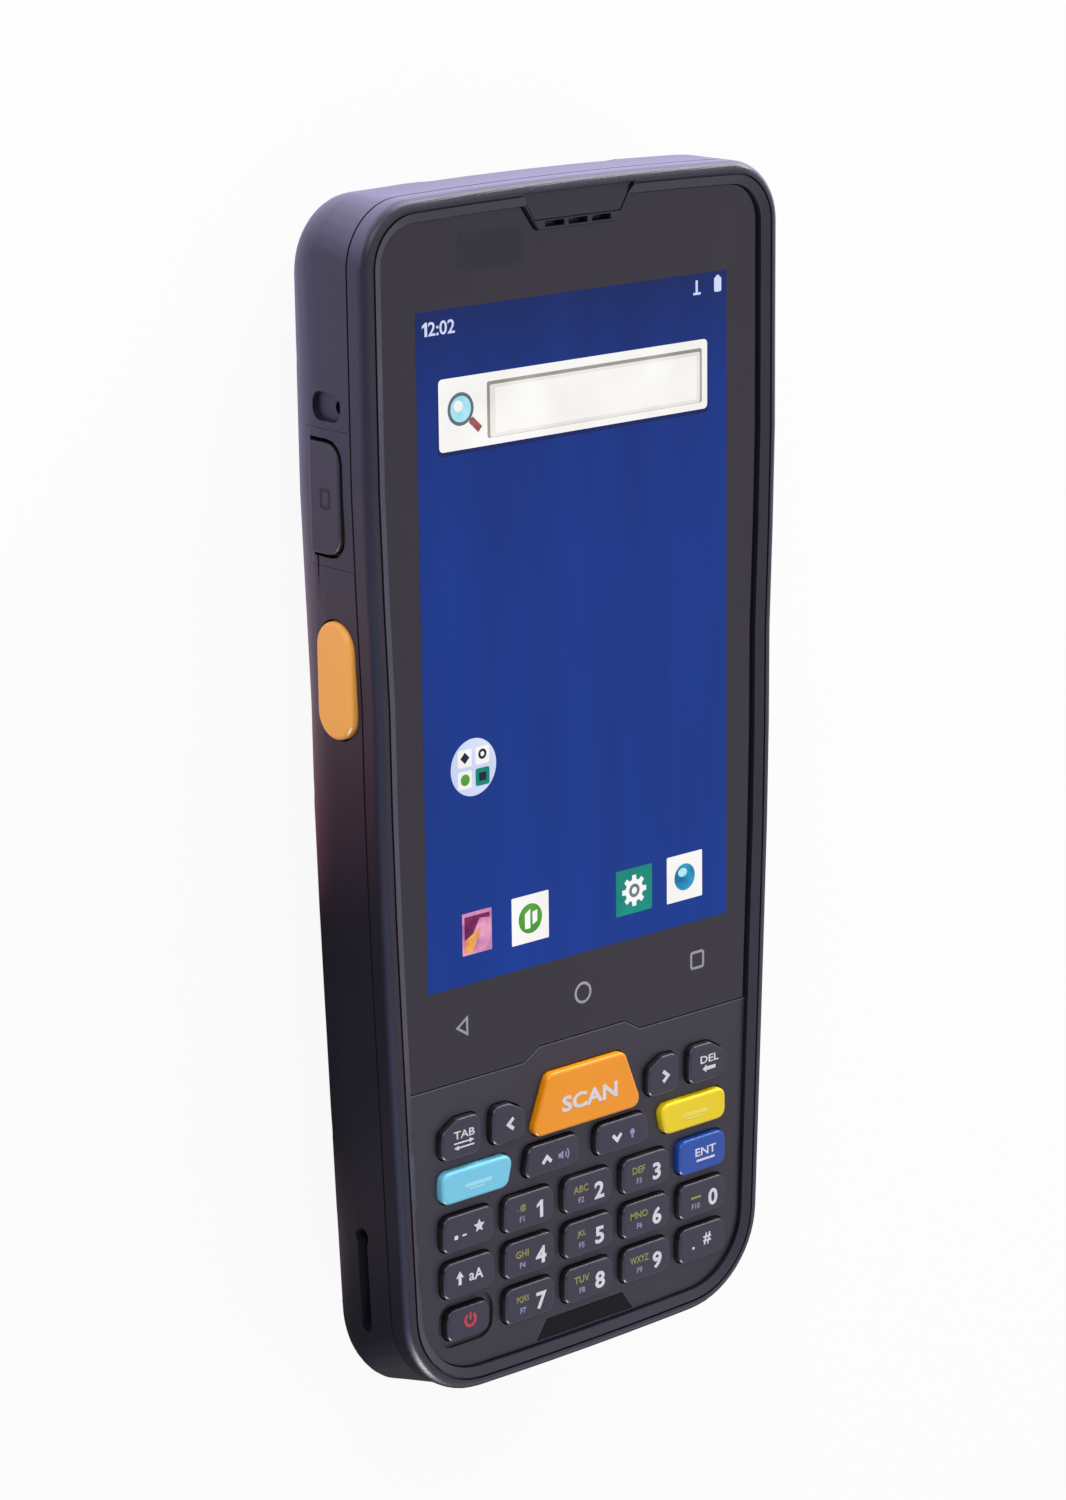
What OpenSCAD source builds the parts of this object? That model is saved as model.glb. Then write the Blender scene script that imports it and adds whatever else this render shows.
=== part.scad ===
// Handheld barcode data terminal: a touch display above a keypad, a trigger in each side,
// a scan window in the head and a battery bay behind a cover in the back.
// It lies on its back: X across, Y towards the head, Z out of the display. Millimetres.
// Origin: centre of the outline, on the flat of the back.

/* [Body] */
// Width at the head
head_w = 69.6; // [69:0.2:76]
// Width that the sides taper to at the foot
foot_w = 62; // [61.6:0.2:66]
// Thickness from the flat of the back to the front rim
body_t = 26; // [25.6:0.2:30]
// Wall of the rear case
wall = 2; // [1.8:0.1:2.4]
// Corner radius in plan, at the head
head_corner_r = 8; // [6.5:0.5:10]
// Corner radius in plan, at the foot
foot_corner_r = 12.5; // [10.5:0.5:13]
// How much tighter the corners are at the back than at the front rim: head, then foot
head_tuck = 0.4; // [0:0.1:2]
foot_tuck = 5.5; // [2:0.1:6]
// How far the end faces bow outwards in plan
end_crown = 0.8; // [0.4:0.2:2]
// Distance from the head to where the sides start to taper
taper_from_head = 45.6; // [40:0.2:55]
// How late the taper sets in; 1 is straight
taper_power = 1.2; // [1:0.1:1.6]
// Depth of the waist on each side, where the triggers are
waist = 0.5; // [0:0.1:0.8]
// Distance over which the waist fades out
waist_run = 26; // [18:1:36]

/* [Back] */
// Lean of the flanks from upright, degrees
flank_lean = 41; // [36:1:44]
// Height above the back where a flank would meet the side
flank_z = 12; // [11.6:0.2:13]
// Radius that blends side and flank
side_r = 12; // [9:0.5:12]
// Radius that blends flank and back
back_r = 8; // [5:0.5:9]
// Share of the flank's run that the head end takes
head_share = 0.65; // [0.6:0.05:0.9]
// Share of the flank's run that the foot end takes
foot_share = 0.8; // [0.7:0.05:1]

/* [Front rim] */
// Height of the rim above the glass
rim_h = 1.1; // [0.8:0.1:1.4]
// Width of the rim from the outside to the glass
rim_w = 3; // [2.6:0.1:3.4]
// Rounding of the rim's outer edge
rim_r = 1.5; // [0.9:0.1:1.6]
// Width of the fine groove inside that rounding
rim_groove = 0.3; // [0.15:0.05:0.3]
// How far the rim falls from the groove to the glass
rim_fall = 0.55; // [0.2:0.05:0.6]
// Depth of the front case's side below the glass
front_skirt = 2.4; // [2.2:0.1:2.8]
// Thickness of the ledge that carries glass and keypad panel
ledge_t = 1.2; // [1:0.1:1.4]

/* [Display] */
// Distance from the head to the display's upper edge
forehead_l = 14.5; // [14:0.1:16.5]
// Visible width of the display
screen_w = 52.2; // [50:0.2:53]
// Visible length of the display
screen_l = 87; // [82:0.5:89]
// Thickness of the touch glass, and of the keypad panel beside it
glass_t = 1.2; // [1:0.1:1.4]
// Thickness of the display module
lcd_t = 2.2; // [1.8:0.1:2.2]
// Distance from the display to the glass's lower edge
chin_l = 12.8; // [9:0.2:18]
// Distance from the foot to the glass's lower edge
split_from_foot = 42.9; // [42.4:0.1:46]
// Half-width of the glass's lower step, at its foot
step_half_w = 10.2; // [9:0.2:12]
// Height of that step
step_h = 1.6; // [1:0.1:2]
// Half-width of the head tab that notches the glass
tab_half_w = 9.5; // [8.5:0.1:11]
// Depth of that notch below the rim
tab_l = 3.2; // [3:0.1:3.6]

/* [Keypad] */
// Distance from the foot to the middle of the lowest row
row_from_foot = 10; // [9.8:0.1:10.2]
// Distance from row to row
row_pitch = 6.4; // [6.3:0.05:6.5]
// Distance from column to column
key_pitch = 10.4; // [10.1:0.1:10.5]
// Width of a number key
key_w = 8.6; // [8.2:0.1:8.8]
// Height of a number key in plan
key_l = 5; // [4.6:0.1:5.1]
// Height of a key above the panel
key_h = 1; // [0.7:0.1:1.1]
// Rounding of a key's corners
key_r = 1.3; // [0.8:0.1:1.6]
// Chamfer round a key's top
key_edge = 0.35; // [0.2:0.05:0.5]
// Travel of a key
key_travel = 0.6; // [0.4:0.05:0.6]
// Gap between a key and its hole
key_gap = 0.2; // [0.15:0.05:0.25]
// Foot of the scan key, from side to side
scan_key_w = 19.8; // [19:0.1:20]
// Height of the scan key in plan
scan_key_l = 8.3; // [7.5:0.1:8.5]
// Width of a function key in the second row
wide_key_w = 12.2; // [11.8:0.1:12.4]
// Width of an arrow key in the second row
arrow_key_w = 9.7; // [9.2:0.1:9.9]

/* [Side triggers] */
// Distance from the head to a trigger's middle
trigger_from_head = 60.2; // [58:0.2:64]
// Depth of a trigger's middle below the glass
trigger_depth = 6.7; // [6.6:0.05:6.8]
// Length of a trigger
trigger_l = 15.1; // [13:0.1:17]
// Width of a trigger
trigger_w = 6.8; // [6:0.1:6.9]
// How far a trigger stands out of the side
trigger_proud = 0.9; // [0.6:0.1:1.2]
// Travel of a trigger
trigger_travel = 0.6; // [0.4:0.05:0.7]
// Gap between a trigger and its slot
trigger_gap = 0.25; // [0.15:0.05:0.3]

/* [Port and strap] */
// Distance from the head to the port cover's middle
port_from_head = 37.2; // [37:0.1:38]
// Length of the port cover
port_cover_l = 14.5; // [14:0.1:14.8]
// Height of the port cover from its hinge line
port_cover_h = 5.3; // [5.2:0.1:5.6]
// Thickness of the port cover
port_cover_t = 1.7; // [1.5:0.1:1.8]
// Length of the pocket in front of the connector
port_pocket_l = 10.8; // [10.4:0.1:11.2]
// Height of that pocket
port_pocket_h = 4.9; // [4.8:0.1:5]
// Depth of that pocket behind the cover
port_pocket_d = 4.4; // [4.3:0.1:4.8]
// Distance from the foot to a strap slot's middle
strap_from_foot = 16.3; // [16:0.1:17]
// Length of a strap slot
strap_slot_l = 14.3; // [12:0.1:14.5]
// Width of a strap slot
strap_slot_w = 2; // [1.6:0.1:2.2]
// Depth of a strap slot's middle below the glass
strap_depth = 7.4; // [7:0.1:7.8]

/* [Scan window] */
// Width of the scan window
window_w = 33.2; // [28:0.2:36]
// Height of the scan window along its tilt
window_h = 10; // [9:0.1:10.4]
// Thickness of the scan window
window_t = 1.1; // [0.9:0.1:1.3]
// Lean of the scan window from upright, degrees
window_tilt = 21; // [18:1:23]
// Height of the scan window's middle above the back
window_z = 10.8; // [10.4:0.1:11.2]

/* [Battery] */
// Width of the battery pack
battery_w = 44; // [40:0.5:45]
// Length of the battery pack
battery_l = 66; // [60:0.5:67]
// Thickness of the battery pack
battery_t = 8.2; // [7:0.1:8.4]
// Distance from the foot to the battery's middle
battery_from_foot = 47.6; // [47:0.1:50]
// Thickness of the battery cover
cover_wall = 1.6; // [1.4:0.1:1.8]
// Overlap of the battery cover past the bay, all round
cover_lap = 3; // [2.4:0.1:3.4]
// How far the cover lifts off
cover_lift = 24; // [18:1:30]
// Gap round the cover, and between it and its seat
cover_gap = 0.2; // [0.15:0.05:0.3]

/* [Back face] */
// Distance from the head to the middle of camera and flash
camera_from_head = 28.6; // [28:0.1:30]
// Distance of camera and flash from the middle
camera_x = 5; // [4.8:0.1:5.6]
// Size of the camera module
camera_body = 8.6; // [7.6:0.1:8.8]
// Width of the camera window
camera_window_w = 20; // [19:0.5:24]
// Height of the camera window
camera_window_l = 9; // [8.4:0.1:10]
// Distance from the head to the middle of loudspeaker and motor
speaker_from_head = 44.6; // [43.6:0.1:45]
// Distance of loudspeaker and motor from the middle
speaker_x = 12; // [11.5:0.5:13]
// Width of the loudspeaker
speaker_w = 15; // [13:0.5:15.5]
// Length of the loudspeaker
speaker_l = 11; // [10:0.2:11.4]
// Distance from the head to the first and the second pair of screws
screw_from_head = 20.6; // [20:0.2:21]
screw_pitch = 56; // [55:0.5:57]
// Distance from the foot to the last pair of screws
screw_from_foot = 34.6; // [34:0.2:36]

/* [Hidden] */
KEYS = ["tab", "left", "scan", "right", "delete", "blue", "up", "down", "yellow",
    "star", "1", "2", "3", "enter", "shift", "4", "5", "6", "0", "power", "7", "8", "9", "hash"];
$fn = 48;

// Housing colours, then the coloured keys
HOUSING = "#35313c";
PANEL = "#42404b";
KEYCAP = "#2b2932";
ORANGE = "#ff9f2a";
SKY = "#86d8f2";
YELLOW = "#fbe01e";
BLUE = "#2c5bc0";
METAL = "#b9bcc2";
GOLD = "#c9a24b";
BOARD = "#1f5a3c";
BLACK = "#141318";

// Steps of the lofts and of round corners
corner_steps = 7;
side_steps = 9;
end_steps = 6;
arc_steps = 4;
key_corner_steps = 4;

// Overshoot of cuts, and the play of pieces that are laid in and pressed in
eps = 0.5;
fit = 0.15;
press = 0.05;

// Ends and levels
body_l = forehead_l + screen_l + chin_l + split_from_foot;
head_y = body_l / 2;
foot_y = -body_l / 2;
taper_y = head_y - taper_from_head;
glass_top = body_t - rim_h;
seat_z = glass_top - glass_t;
part_z = glass_top - front_skirt;
rim_base = body_t - rim_r;
rim_groove_d = 0.35;
rim_slope = (rim_w - rim_r - rim_groove) / rim_fall;

// Points on the section where its arcs start
side_z = flank_z + side_r * tan(flank_lean / 2);
flat_inset = flank_z * tan(flank_lean) + back_r * tan((90 - flank_lean) / 2);
corner_spread = 0.35;

// Display, its module and the frame behind it
screen_y = head_y - forehead_l - screen_l / 2;
lcd_rim = 1.4;
lcd_w = screen_w + 2 * lcd_rim;
lcd_l = screen_l + 4 * lcd_rim;
lcd_top = seat_z - 0.1;
frame_t = 1.2;
frame_top = lcd_top - lcd_t;
frame_z = frame_top - frame_t;
frame_inset = 6;
split_y = foot_y + split_from_foot;
step_run = 2.7;
tab_y = head_y - rim_w - tab_l;
tab_slope = 3;
tab_top = glass_top + 0.6;
slot_run = 3.9;

// Keypad levels, from the caps down to the tray
flange = 0.35;
flange_t = 0.6;
flange_top = seat_z - 0.1;
mat_t = 0.8;
mat_top = flange_top - flange_t - key_travel - 0.1;
plunger_z = mat_top - mat_t - 0.2;
plunger_r = 1.8;
dome_h = 0.3;
board_t = 1;
board_top = plunger_z - key_travel - dome_h - 0.1;
tray_z = board_top - board_t - frame_t;
scan_key_y = row_y(1) + 0.95;
field_half_w = 2 * key_pitch + key_w / 2 + flange + 0.25;
field_y0 = row_y(5) - key_l / 2 - flange - 0.25;
field_y1 = scan_key_y + scan_key_l / 2 + flange + 0.25;

// Triggers and the switches behind them
trigger_y = head_y - trigger_from_head;
trigger_z = glass_top - trigger_depth;
trigger_x = half_w(trigger_y);
trigger_flange = 0.5;
trigger_flange_t = 0.8;
trigger_inner_x = trigger_x - wall - 1.4;
plunger_x = trigger_inner_x - trigger_travel - 0.1;

// Port cover, its hinge line, and the pocket behind it
port_y = head_y - port_from_head;
port_x = half_w(port_y);
hinge_z = part_z - 1.8 - port_cover_h;
hinge_r = 0.6;
hinge_x = port_x - 0.4;
port_proud = 0.3;
port_seat_x = port_x + port_proud - port_cover_t - 0.2;
pocket_x = port_seat_x - port_pocket_d;
pocket_z = hinge_z + port_cover_h / 2;

// Strap slots
strap_y = foot_y + strap_from_foot;
strap_z = glass_top - strap_depth;
strap_x = half_w(strap_y);
strap_bar = 2.4;
strap_pocket_d = strap_bar + strap_slot_w;

// Scan window's middle, on the chord of the head's curve
window_y = head_y - 2.7;
window_rim = 2.6;

// Battery bay and cover
battery_y = foot_y + battery_from_foot;
battery_z = cover_wall + 0.5;
bay_play = 0.5;
bay_top = battery_z + battery_t + 0.3;
bay_wall = 1.4;
bay_end = battery_y + battery_l / 2 + bay_play;
cover_w = battery_w + 2 * (bay_play + cover_lap);
cover_l = battery_l + 2 * (bay_play + cover_lap);
cover_r = 6;
ledge_top = battery_z + 2.4;

// Contact block at the bay's head end, and the card socket in its ceiling
contact_w = 12;
contact_z0 = ledge_top + 0.2;
contact_h = 4;
card_w = 14;
card_l = 15;

// Scan engine, behind the window
engine_w = 21.6;
engine_l = 10.6;
engine_h = 9;
engine_y = head_y - 13.3;
engine_z = window_z - engine_h / 2;

// Rear camera and flash, loudspeaker and motor on the floor of the case
camera_y = head_y - camera_from_head;
camera_r = 0.35 * camera_body;
camera_depth = 4.4;
flash_size = 4.6;
flash_r = 1.8;
camera_seat_z = 1.2;
floor_y = head_y - speaker_from_head;
speaker_t = 3.2;
slot_pitch = speaker_w / 6.25;
motor_r = 4;
motor_t = 2.7;

// Cradle contacts and microphone in the foot
contact_places = [-8, -4, 0, 4, 8];
contact_z = part_z - 3;
mic_x = 13;

// Gasket, plates and port details
gasket_t = 0.4;
badge_t = 0.3;
flap_r = 2.6;
usb_w = 9;
usb_h = 3.2;
usb_r = 1.4;
notch_y = port_y + port_cover_l / 2 + 4.2;

// Boards, posts and fasteners
main_board_t = 1;
can_h = 2.2;
main_board_z = bay_top + bay_wall + 3;
main_board_y0 = -24;
main_board_y1 = head_y - 20;
board_half_w = pocket_x - 2;
board_ends = [main_board_y0 + 4, main_board_y1 - 4];
riser_y = field_y1 + 1;
post_x = 23;
post_r = 1.8;
screw_r = 0.8;
screw_head_r = 1.6;
screw_head_h = 1.4;
screw_edge = 4.15;
screw_seat_z = 11;
boss_r = 3;
nut_boss_r = 1.9;
boss_top = 17.4;
boss_tip = part_z - 2;
screw_rows = [head_y - screw_from_head, head_y - screw_from_head - screw_pitch, foot_y + screw_from_foot];
screw_places = [for (y = screw_rows) [half_w(y) - screw_edge, y]];

// ---- outlines ----

// Half-width of the body at a place along it
function half_w(y) = (head_w - (head_w - foot_w)
    * pow(max(0, (taper_y - y) / (taper_y + body_l / 2)), taper_power)) / 2
    - waist * (1 + cos(min(180, 180 * abs(y - trigger_y) / waist_run))) / 2;

function arc(centre, r, a0, a1, n) =
    [for (k = [0:n]) centre + r * [cos(a0 + (a1 - a0) * k / n), sin(a0 + (a1 - a0) * k / n)]];

// Bows the ends outwards
function crowned(p) = [p.x, p.y - p.y / (body_l / 2) * end_crown * pow(p.x / (head_w / 2), 2)];

// Right half of the outline, from foot to head, drawn in by insets at side, foot and head
function right_half(side, foot, head, grow, tuck) =
    let (rf = foot_corner_r + grow - tuck * foot_tuck, rh = head_corner_r + grow - tuck * head_tuck,
        cf = [half_w(foot_y + foot + rf) - side - rf, foot_y + foot + rf],
        ch = [half_w(head_y) - side - rh, head_y - head - rh],
        lean = atan(taper_power * (head_w - foot_w) / 2 / (taper_y - foot_y)))
    concat(
        [for (k = [0:end_steps / 2 - 1]) [cf.x * 2 * k / end_steps, foot_y + foot]],
        arc(cf, rf, -90, -lean, corner_steps),
        [for (k = [1:side_steps]) let (y = cf.y + (ch.y - cf.y) * k / (side_steps + 1))
            [half_w(y) - side, y]],
        arc(ch, rh, 0, 90, corner_steps),
        [for (k = [1:end_steps / 2]) [ch.x * (1 - 2 * k / end_steps), head_y - head]]);

// Whole outline, counter-clockwise; tuck runs from 0 at the front rim to 1 at the back
function ring(side, foot, head, grow, tuck = 0) =
    let (half = right_half(side, foot, head, grow, tuck), n = len(half))
    [for (p = concat(half, [for (k = [n - 2:-1:1]) [-half[k].x, half[k].y]])) crowned(p)];

// Outline drawn in evenly
function outline(inset) = ring(inset, inset, inset, -inset);

// Section of the tub as [inset, height] at a depth below its skin, from the back up to the parting plane
function tub_section(depth) = concat(
    [for (k = [0:arc_steps]) let (a = 90 - (90 - flank_lean) * k / arc_steps)
        [flat_inset - (back_r - depth) * cos(a), back_r - (back_r - depth) * sin(a)]],
    [for (k = [0:arc_steps]) let (a = flank_lean * (1 - k / arc_steps))
        [side_r - (side_r - depth) * cos(a), side_z - (side_r - depth) * sin(a)]],
    [[depth, part_z]]);

// Corner points rounded to arcs; the points run counter-clockwise round a convex shape
function unit(v) = v / norm(v);
function rounded(pts, r) = let (n = len(pts)) [for (i = [0:n - 1])
    let (p = pts[i], a = unit(pts[(i + n - 1) % n] - p), b = unit(pts[(i + 1) % n] - p),
        half = acos(a * b) / 2, c = p + unit(a + b) * r / sin(half),
        s = p + a * r / tan(half) - c, e = p + b * r / tan(half) - c,
        a0 = atan2(s.y, s.x), turn = (atan2(e.y, e.x) - a0 + 540) % 360 - 180)
    for (k = [0:key_corner_steps]) let (a = a0 + turn * k / key_corner_steps) c + r * [cos(a), sin(a)]];

// The same shape with every side moved outwards
function grown(pts, d) = let (n = len(pts)) [for (i = [0:n - 1])
    let (a = unit(pts[i] - pts[(i + n - 1) % n]), b = unit(pts[(i + 1) % n] - pts[i]),
        na = [a.y, -a.x], nb = [b.y, -b.x])
    pts[i] + d * (na + nb) / (1 + na * nb)];

function rect(w, l) = [[-w / 2, -l / 2], [w / 2, -l / 2], [w / 2, l / 2], [-w / 2, l / 2]];
function trapezoid(y0, half0, y1, half1) = [[-half0, y0], [half0, y0], [half1, y1], [-half1, y1]];

// Area below the line that parts glass from keypad panel
function below_split(shift) = [[-head_w, foot_y - 1], [head_w, foot_y - 1], [head_w, split_y + shift],
    [step_half_w, split_y + shift], [step_half_w - step_run, split_y + step_h + shift],
    [-step_half_w + step_run, split_y + step_h + shift], [-step_half_w, split_y + shift],
    [-head_w, split_y + shift]];

// Head tab, wider at the rim than at its tip
function tab(grow) = grown(trapezoid(tab_y, tab_half_w - tab_slope, tab_y + tab_l + 1, tab_half_w), grow);

// ---- solids that several pieces share ----

// Skins over rings of equal length, from the lowest to the highest
module loft(rings) {
    n = len(rings[0]);
    last = len(rings) - 1;
    polyhedron([for (r = rings) each r], concat(
        [[for (j = [0:n - 1]) j]],
        [for (k = [0:last - 1], j = [0:n - 1]) [k * n + j, (k + 1) * n + j, (k + 1) * n + (j + 1) % n]],
        [for (k = [0:last - 1], j = [0:n - 1]) [k * n + j, (k + 1) * n + (j + 1) % n, k * n + (j + 1) % n]],
        [[for (j = [n - 1:-1:0]) last * n + j]]));
}

function lift(pts, z) = [for (p = pts) [p.x, p.y, z]];

// The tub-shaped back, at a depth below its skin; top raises its open end for use as a cutter
module tub(depth, top = 0) {
    loft([for (s = tub_section(depth))
        let (run = s[0] - depth, spread = corner_spread * run - depth,
            tuck = min(1, (part_z - s[1]) / (part_z - side_z)))
        lift(ring(s[0], depth + run * foot_share, depth + run * head_share, spread, tuck),
            s[1] + (s[1] == part_z ? top : 0))]);
}

module prism(pts, z0, z1) {
    translate([0, 0, z0]) linear_extrude(z1 - z0) polygon(pts);
}

module box(x0, x1, y0, y1, z0, z1) {
    translate([x0, y0, z0]) cube([x1 - x0, y1 - y0, z1 - z0]);
}

// A slab with rounded corners in plan
module slab(centre, w, l, r, z0, z1) {
    translate([centre.x, centre.y, 0]) prism(rounded(rect(w, l), r), z0, z1);
}

module rod(x, y, r, z0, z1) {
    translate([x, y, z0]) cylinder(r = r, h = z1 - z0);
}

// Round-ended bar along Y that reaches from x0 to x1
module pill(l, w, x0, x1, y, z) {
    translate([x0, y, z]) rotate([0, 90, 0]) {
        for (end = [-1, 1]) translate([0, end * (l - w) / 2, 0]) cylinder(d = w, h = x1 - x0);
        translate([-w / 2, -(l - w) / 2, 0]) cube([w, l - w, x1 - x0]);
    }
}

module both_sides() {
    children();
    mirror([1, 0, 0]) children();
}

// ---- keys ----

function row_y(row) = foot_y + row_from_foot + (5 - row) * row_pitch;
function col_x(col) = (col - 3) * key_pitch;
function field_x() = 2 * key_pitch + key_w / 2;

// A key mirrored to the right of the centre line
function mirrored(pts) = [for (k = [len(pts) - 1:-1:0]) [-pts[k].x, pts[k].y]];

// Outer keys of the first row lose their upper corner; the inner pair slope towards the scan key
corner_key_w = 6.7;
arrow_w = 5.6;
corner_key = [[-corner_key_w / 2, -2.6], [corner_key_w / 2, -2.6], [corner_key_w / 2, 2.8], [-0.6, 2.8],
    [-corner_key_w / 2, 1.2]];
inner_key = [[-arrow_w / 2, -2.6], [arrow_w / 2, -2.6], [arrow_w / 2, 1.4], [0.2, 2.8], [-arrow_w / 2, 2.8]];
wide_key = [[-wide_key_w / 2, -2.2], [wide_key_w / 2 - 1.1, -2.2], [wide_key_w / 2, 2.2],
    [-wide_key_w / 2, 2.2]];
arrow_key = [[-arrow_key_w / 2, -2.2], [arrow_key_w / 2, -2.2], [arrow_key_w / 2, 2.2],
    [-arrow_key_w / 2 + 0.8, 2.2]];
scan_key = trapezoid(-scan_key_l / 2, scan_key_w / 2, scan_key_l / 2, scan_key_w / 2 - 3.15);
number_key = rect(key_w, key_l);
power_key = rect(key_w - 1.4, key_l - 0.6);

inner_key_x = scan_key_w / 2 + 1 + arrow_w / 2;

// Centre, outline and colour of each key
function key_data(name) =
    name == "tab" ? [[corner_key_w / 2 - field_x(), row_y(1)], corner_key, KEYCAP] :
    name == "delete" ? [[field_x() - corner_key_w / 2, row_y(1)], mirrored(corner_key), KEYCAP] :
    name == "left" ? [[-inner_key_x, row_y(1)], inner_key, KEYCAP] :
    name == "right" ? [[inner_key_x, row_y(1)], mirrored(inner_key), KEYCAP] :
    name == "scan" ? [[0, scan_key_y], scan_key, ORANGE] :
    name == "blue" ? [[wide_key_w / 2 - field_x(), row_y(2)], wide_key, SKY] :
    name == "yellow" ? [[field_x() - wide_key_w / 2, row_y(2)], mirrored(wide_key), YELLOW] :
    name == "up" ? [[-arrow_key_w / 2 - 1.5, row_y(2)], arrow_key, KEYCAP] :
    name == "down" ? [[arrow_key_w / 2 + 1.5, row_y(2)], mirrored(arrow_key), KEYCAP] :
    name == "power" ? [[col_x(1), row_y(5)], power_key, KEYCAP] :
    let (place = search([name], ["star", "1", "2", "3", "enter", "shift", "4", "5", "6", "0",
        "power", "7", "8", "9", "hash"])[0])
    [[col_x(place % 5 + 1), row_y(3 + floor(place / 5))], number_key, name == "enter" ? BLUE : KEYCAP];

// Cap with a chamfered top, a flange that the panel holds back, and a plunger over the dome
module key(name) {
    data = key_data(name);
    top = glass_top + (name == "power" ? key_h - 0.3 : key_h);
    color(data[2]) translate([data[0].x, data[0].y, 0]) {
        hull() {
            prism(rounded(data[1], key_r), flange_top - 0.2, top - key_edge);
            prism(rounded(grown(data[1], -key_edge), key_r - key_edge / 2), flange_top, top);
        }
        prism(rounded(grown(data[1], flange), key_r + flange), flange_top - flange_t, flange_top);
        rod(0, 0, plunger_r, plunger_z, flange_top - flange_t + 0.2);
    }
}

// ---- housing ----

module front_case() {
    color(HOUSING) {
        difference() {
            union() {
                difference() {
                    loft(concat([lift(outline(0.25), part_z), lift(outline(0), part_z + 0.3)],
                        [for (a = [0:15:90])
                            lift(outline(rim_r * (1 - cos(a))), rim_base + rim_r * sin(a))]));
                    // opening for glass and panel, with the rim's fall towards it, and the fine groove
                    loft([lift(outline(rim_w), seat_z), lift(outline(rim_w), body_t - rim_fall),
                        lift(outline(rim_w - (rim_fall + eps) * rim_slope), body_t + eps)]);
                    difference() {
                        prism(outline(rim_r), body_t - rim_groove_d, body_t + eps);
                        prism(outline(rim_r + rim_groove), body_t - 2 * rim_groove_d, body_t + 2 * eps);
                    }
                }
                prism(tab(0), part_z, tab_top);
            }
            // window for the display module, and the keypad's opening
            slab([0, screen_y], lcd_w + 2 * fit, lcd_l + 2 * fit, 1, part_z - eps, seat_z + eps);
            box(-field_half_w, field_half_w, field_y0, field_y1, part_z - eps, seat_z + eps);
            // receiver, sensor and badge in the head
            earpiece_space(part_z - eps, seat_z);
            sensor_space(part_z - eps, seat_z + eps);
            for (x = [-slot_run, 0, slot_run])
                box(x - 1.6, x + 1.6, tab_y + 0.25, tab_y + 1, seat_z - eps, tab_top + eps);
            prism(badge(fit), tab_top - 0.4, body_t + eps);
        }
        // bosses that the case screws bite into
        both_sides() for (p = screw_places) difference() {
            rod(p.x, p.y, nut_boss_r, boss_tip + 0.1, part_z + 0.4);
            rod(p.x, p.y, screw_r + 0.02, boss_tip - eps, part_z + 0.1);
        }
    }
}

function badge(grow) = grown(trapezoid(tab_y + 1.3, 7.1, tab_y + 4.6, 9.1), grow);
function foot_badge(grow) = grown(trapezoid(foot_y + rim_w + 0.55, 8.5, foot_y + rim_w + 3.15, 6.7), grow);

module earpiece_space(z0, z1) {
    box(-6.2, 6.2, tab_y - 2.2, tab_y + 2.2, z0, z1);
}

module sensor_space(z0, z1) {
    box(-18.2, -9.2, tab_y - 3.9, tab_y + 0.5, z0, z1);
}

module rear_case() {
    color(HOUSING) difference() {
        tub(0);
        // hollow, less the walls and bosses that stand in it
        difference() {
            tub(wall, eps);
            cover_column(bay_wall, ledge_top);
            bay_column(bay_wall, bay_top + bay_wall);
            both_sides() for (p = screw_places) {
                rod(p.x, p.y, boss_r, -eps, boss_top);
                rod(p.x, p.y, nut_boss_r, -eps, boss_tip);
            }
            box(-engine_w / 2 + 1.8, engine_w / 2 - 1.8,
                engine_y - engine_l / 2 + 0.3, engine_y + engine_l / 2 - 1.3, -eps, engine_z);
            both_sides() strap_block();
            at_window() window_column(1.6, -window_t - 1.4, 6);
        }
        battery_bay();
        // screw holes from the back
        both_sides() for (p = screw_places) {
            rod(p.x, p.y, screw_head_r + 0.2, -eps, screw_seat_z);
            rod(p.x, p.y, screw_r + 0.2, screw_seat_z - eps, boss_tip + eps);
        }
        // trigger slots, and the flat that each trigger's flange rests on
        both_sides() {
            trigger_pill(trigger_gap, trigger_x - wall - eps, trigger_x + eps);
            trigger_pill(trigger_gap + trigger_flange, trigger_x - wall - 2, trigger_x - wall);
        }
        // notch that the port frame drops into
        port_side() {
            port_block(press, part_z + eps);
            port_cuts();
        }
        both_sides() strap_cuts();
        at_window() {
            window_column(fit, -window_t, 6);
            window_column(-window_rim, -8, 0);
        }
        gasket(part_z - gasket_t, part_z + eps);
        // camera window's seat, with holes for lens and flash
        slab([0, camera_y], camera_window_w + 2 * fit, camera_window_l + 2 * fit, camera_window_l / 2 - 0.1,
            -eps, camera_seat_z);
        rod(-camera_x, camera_y, camera_r + 0.2, 0, wall + eps);
        rod(camera_x, camera_y, flash_r, 0, wall + eps);
        // loudspeaker slots
        for (k = [-2:2]) let (x = speaker_x + k * slot_pitch, half_l = speaker_l / 2 - 0.5)
            box(x - slot_pitch / 4, x + slot_pitch / 4, floor_y - half_l, floor_y + half_l, -eps, wall + eps);
        // slots for the cradle contacts, and the microphone's sound hole
        for (x = contact_places)
            box(x - 1.25, x + 1.25, foot_y - 1, foot_y + wall + 1, contact_z - 1.6, contact_z + 1.6);
        along_y([-mic_x, contact_z], 0.5, foot_y - eps, foot_y + wall + 1);
    }
}

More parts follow.
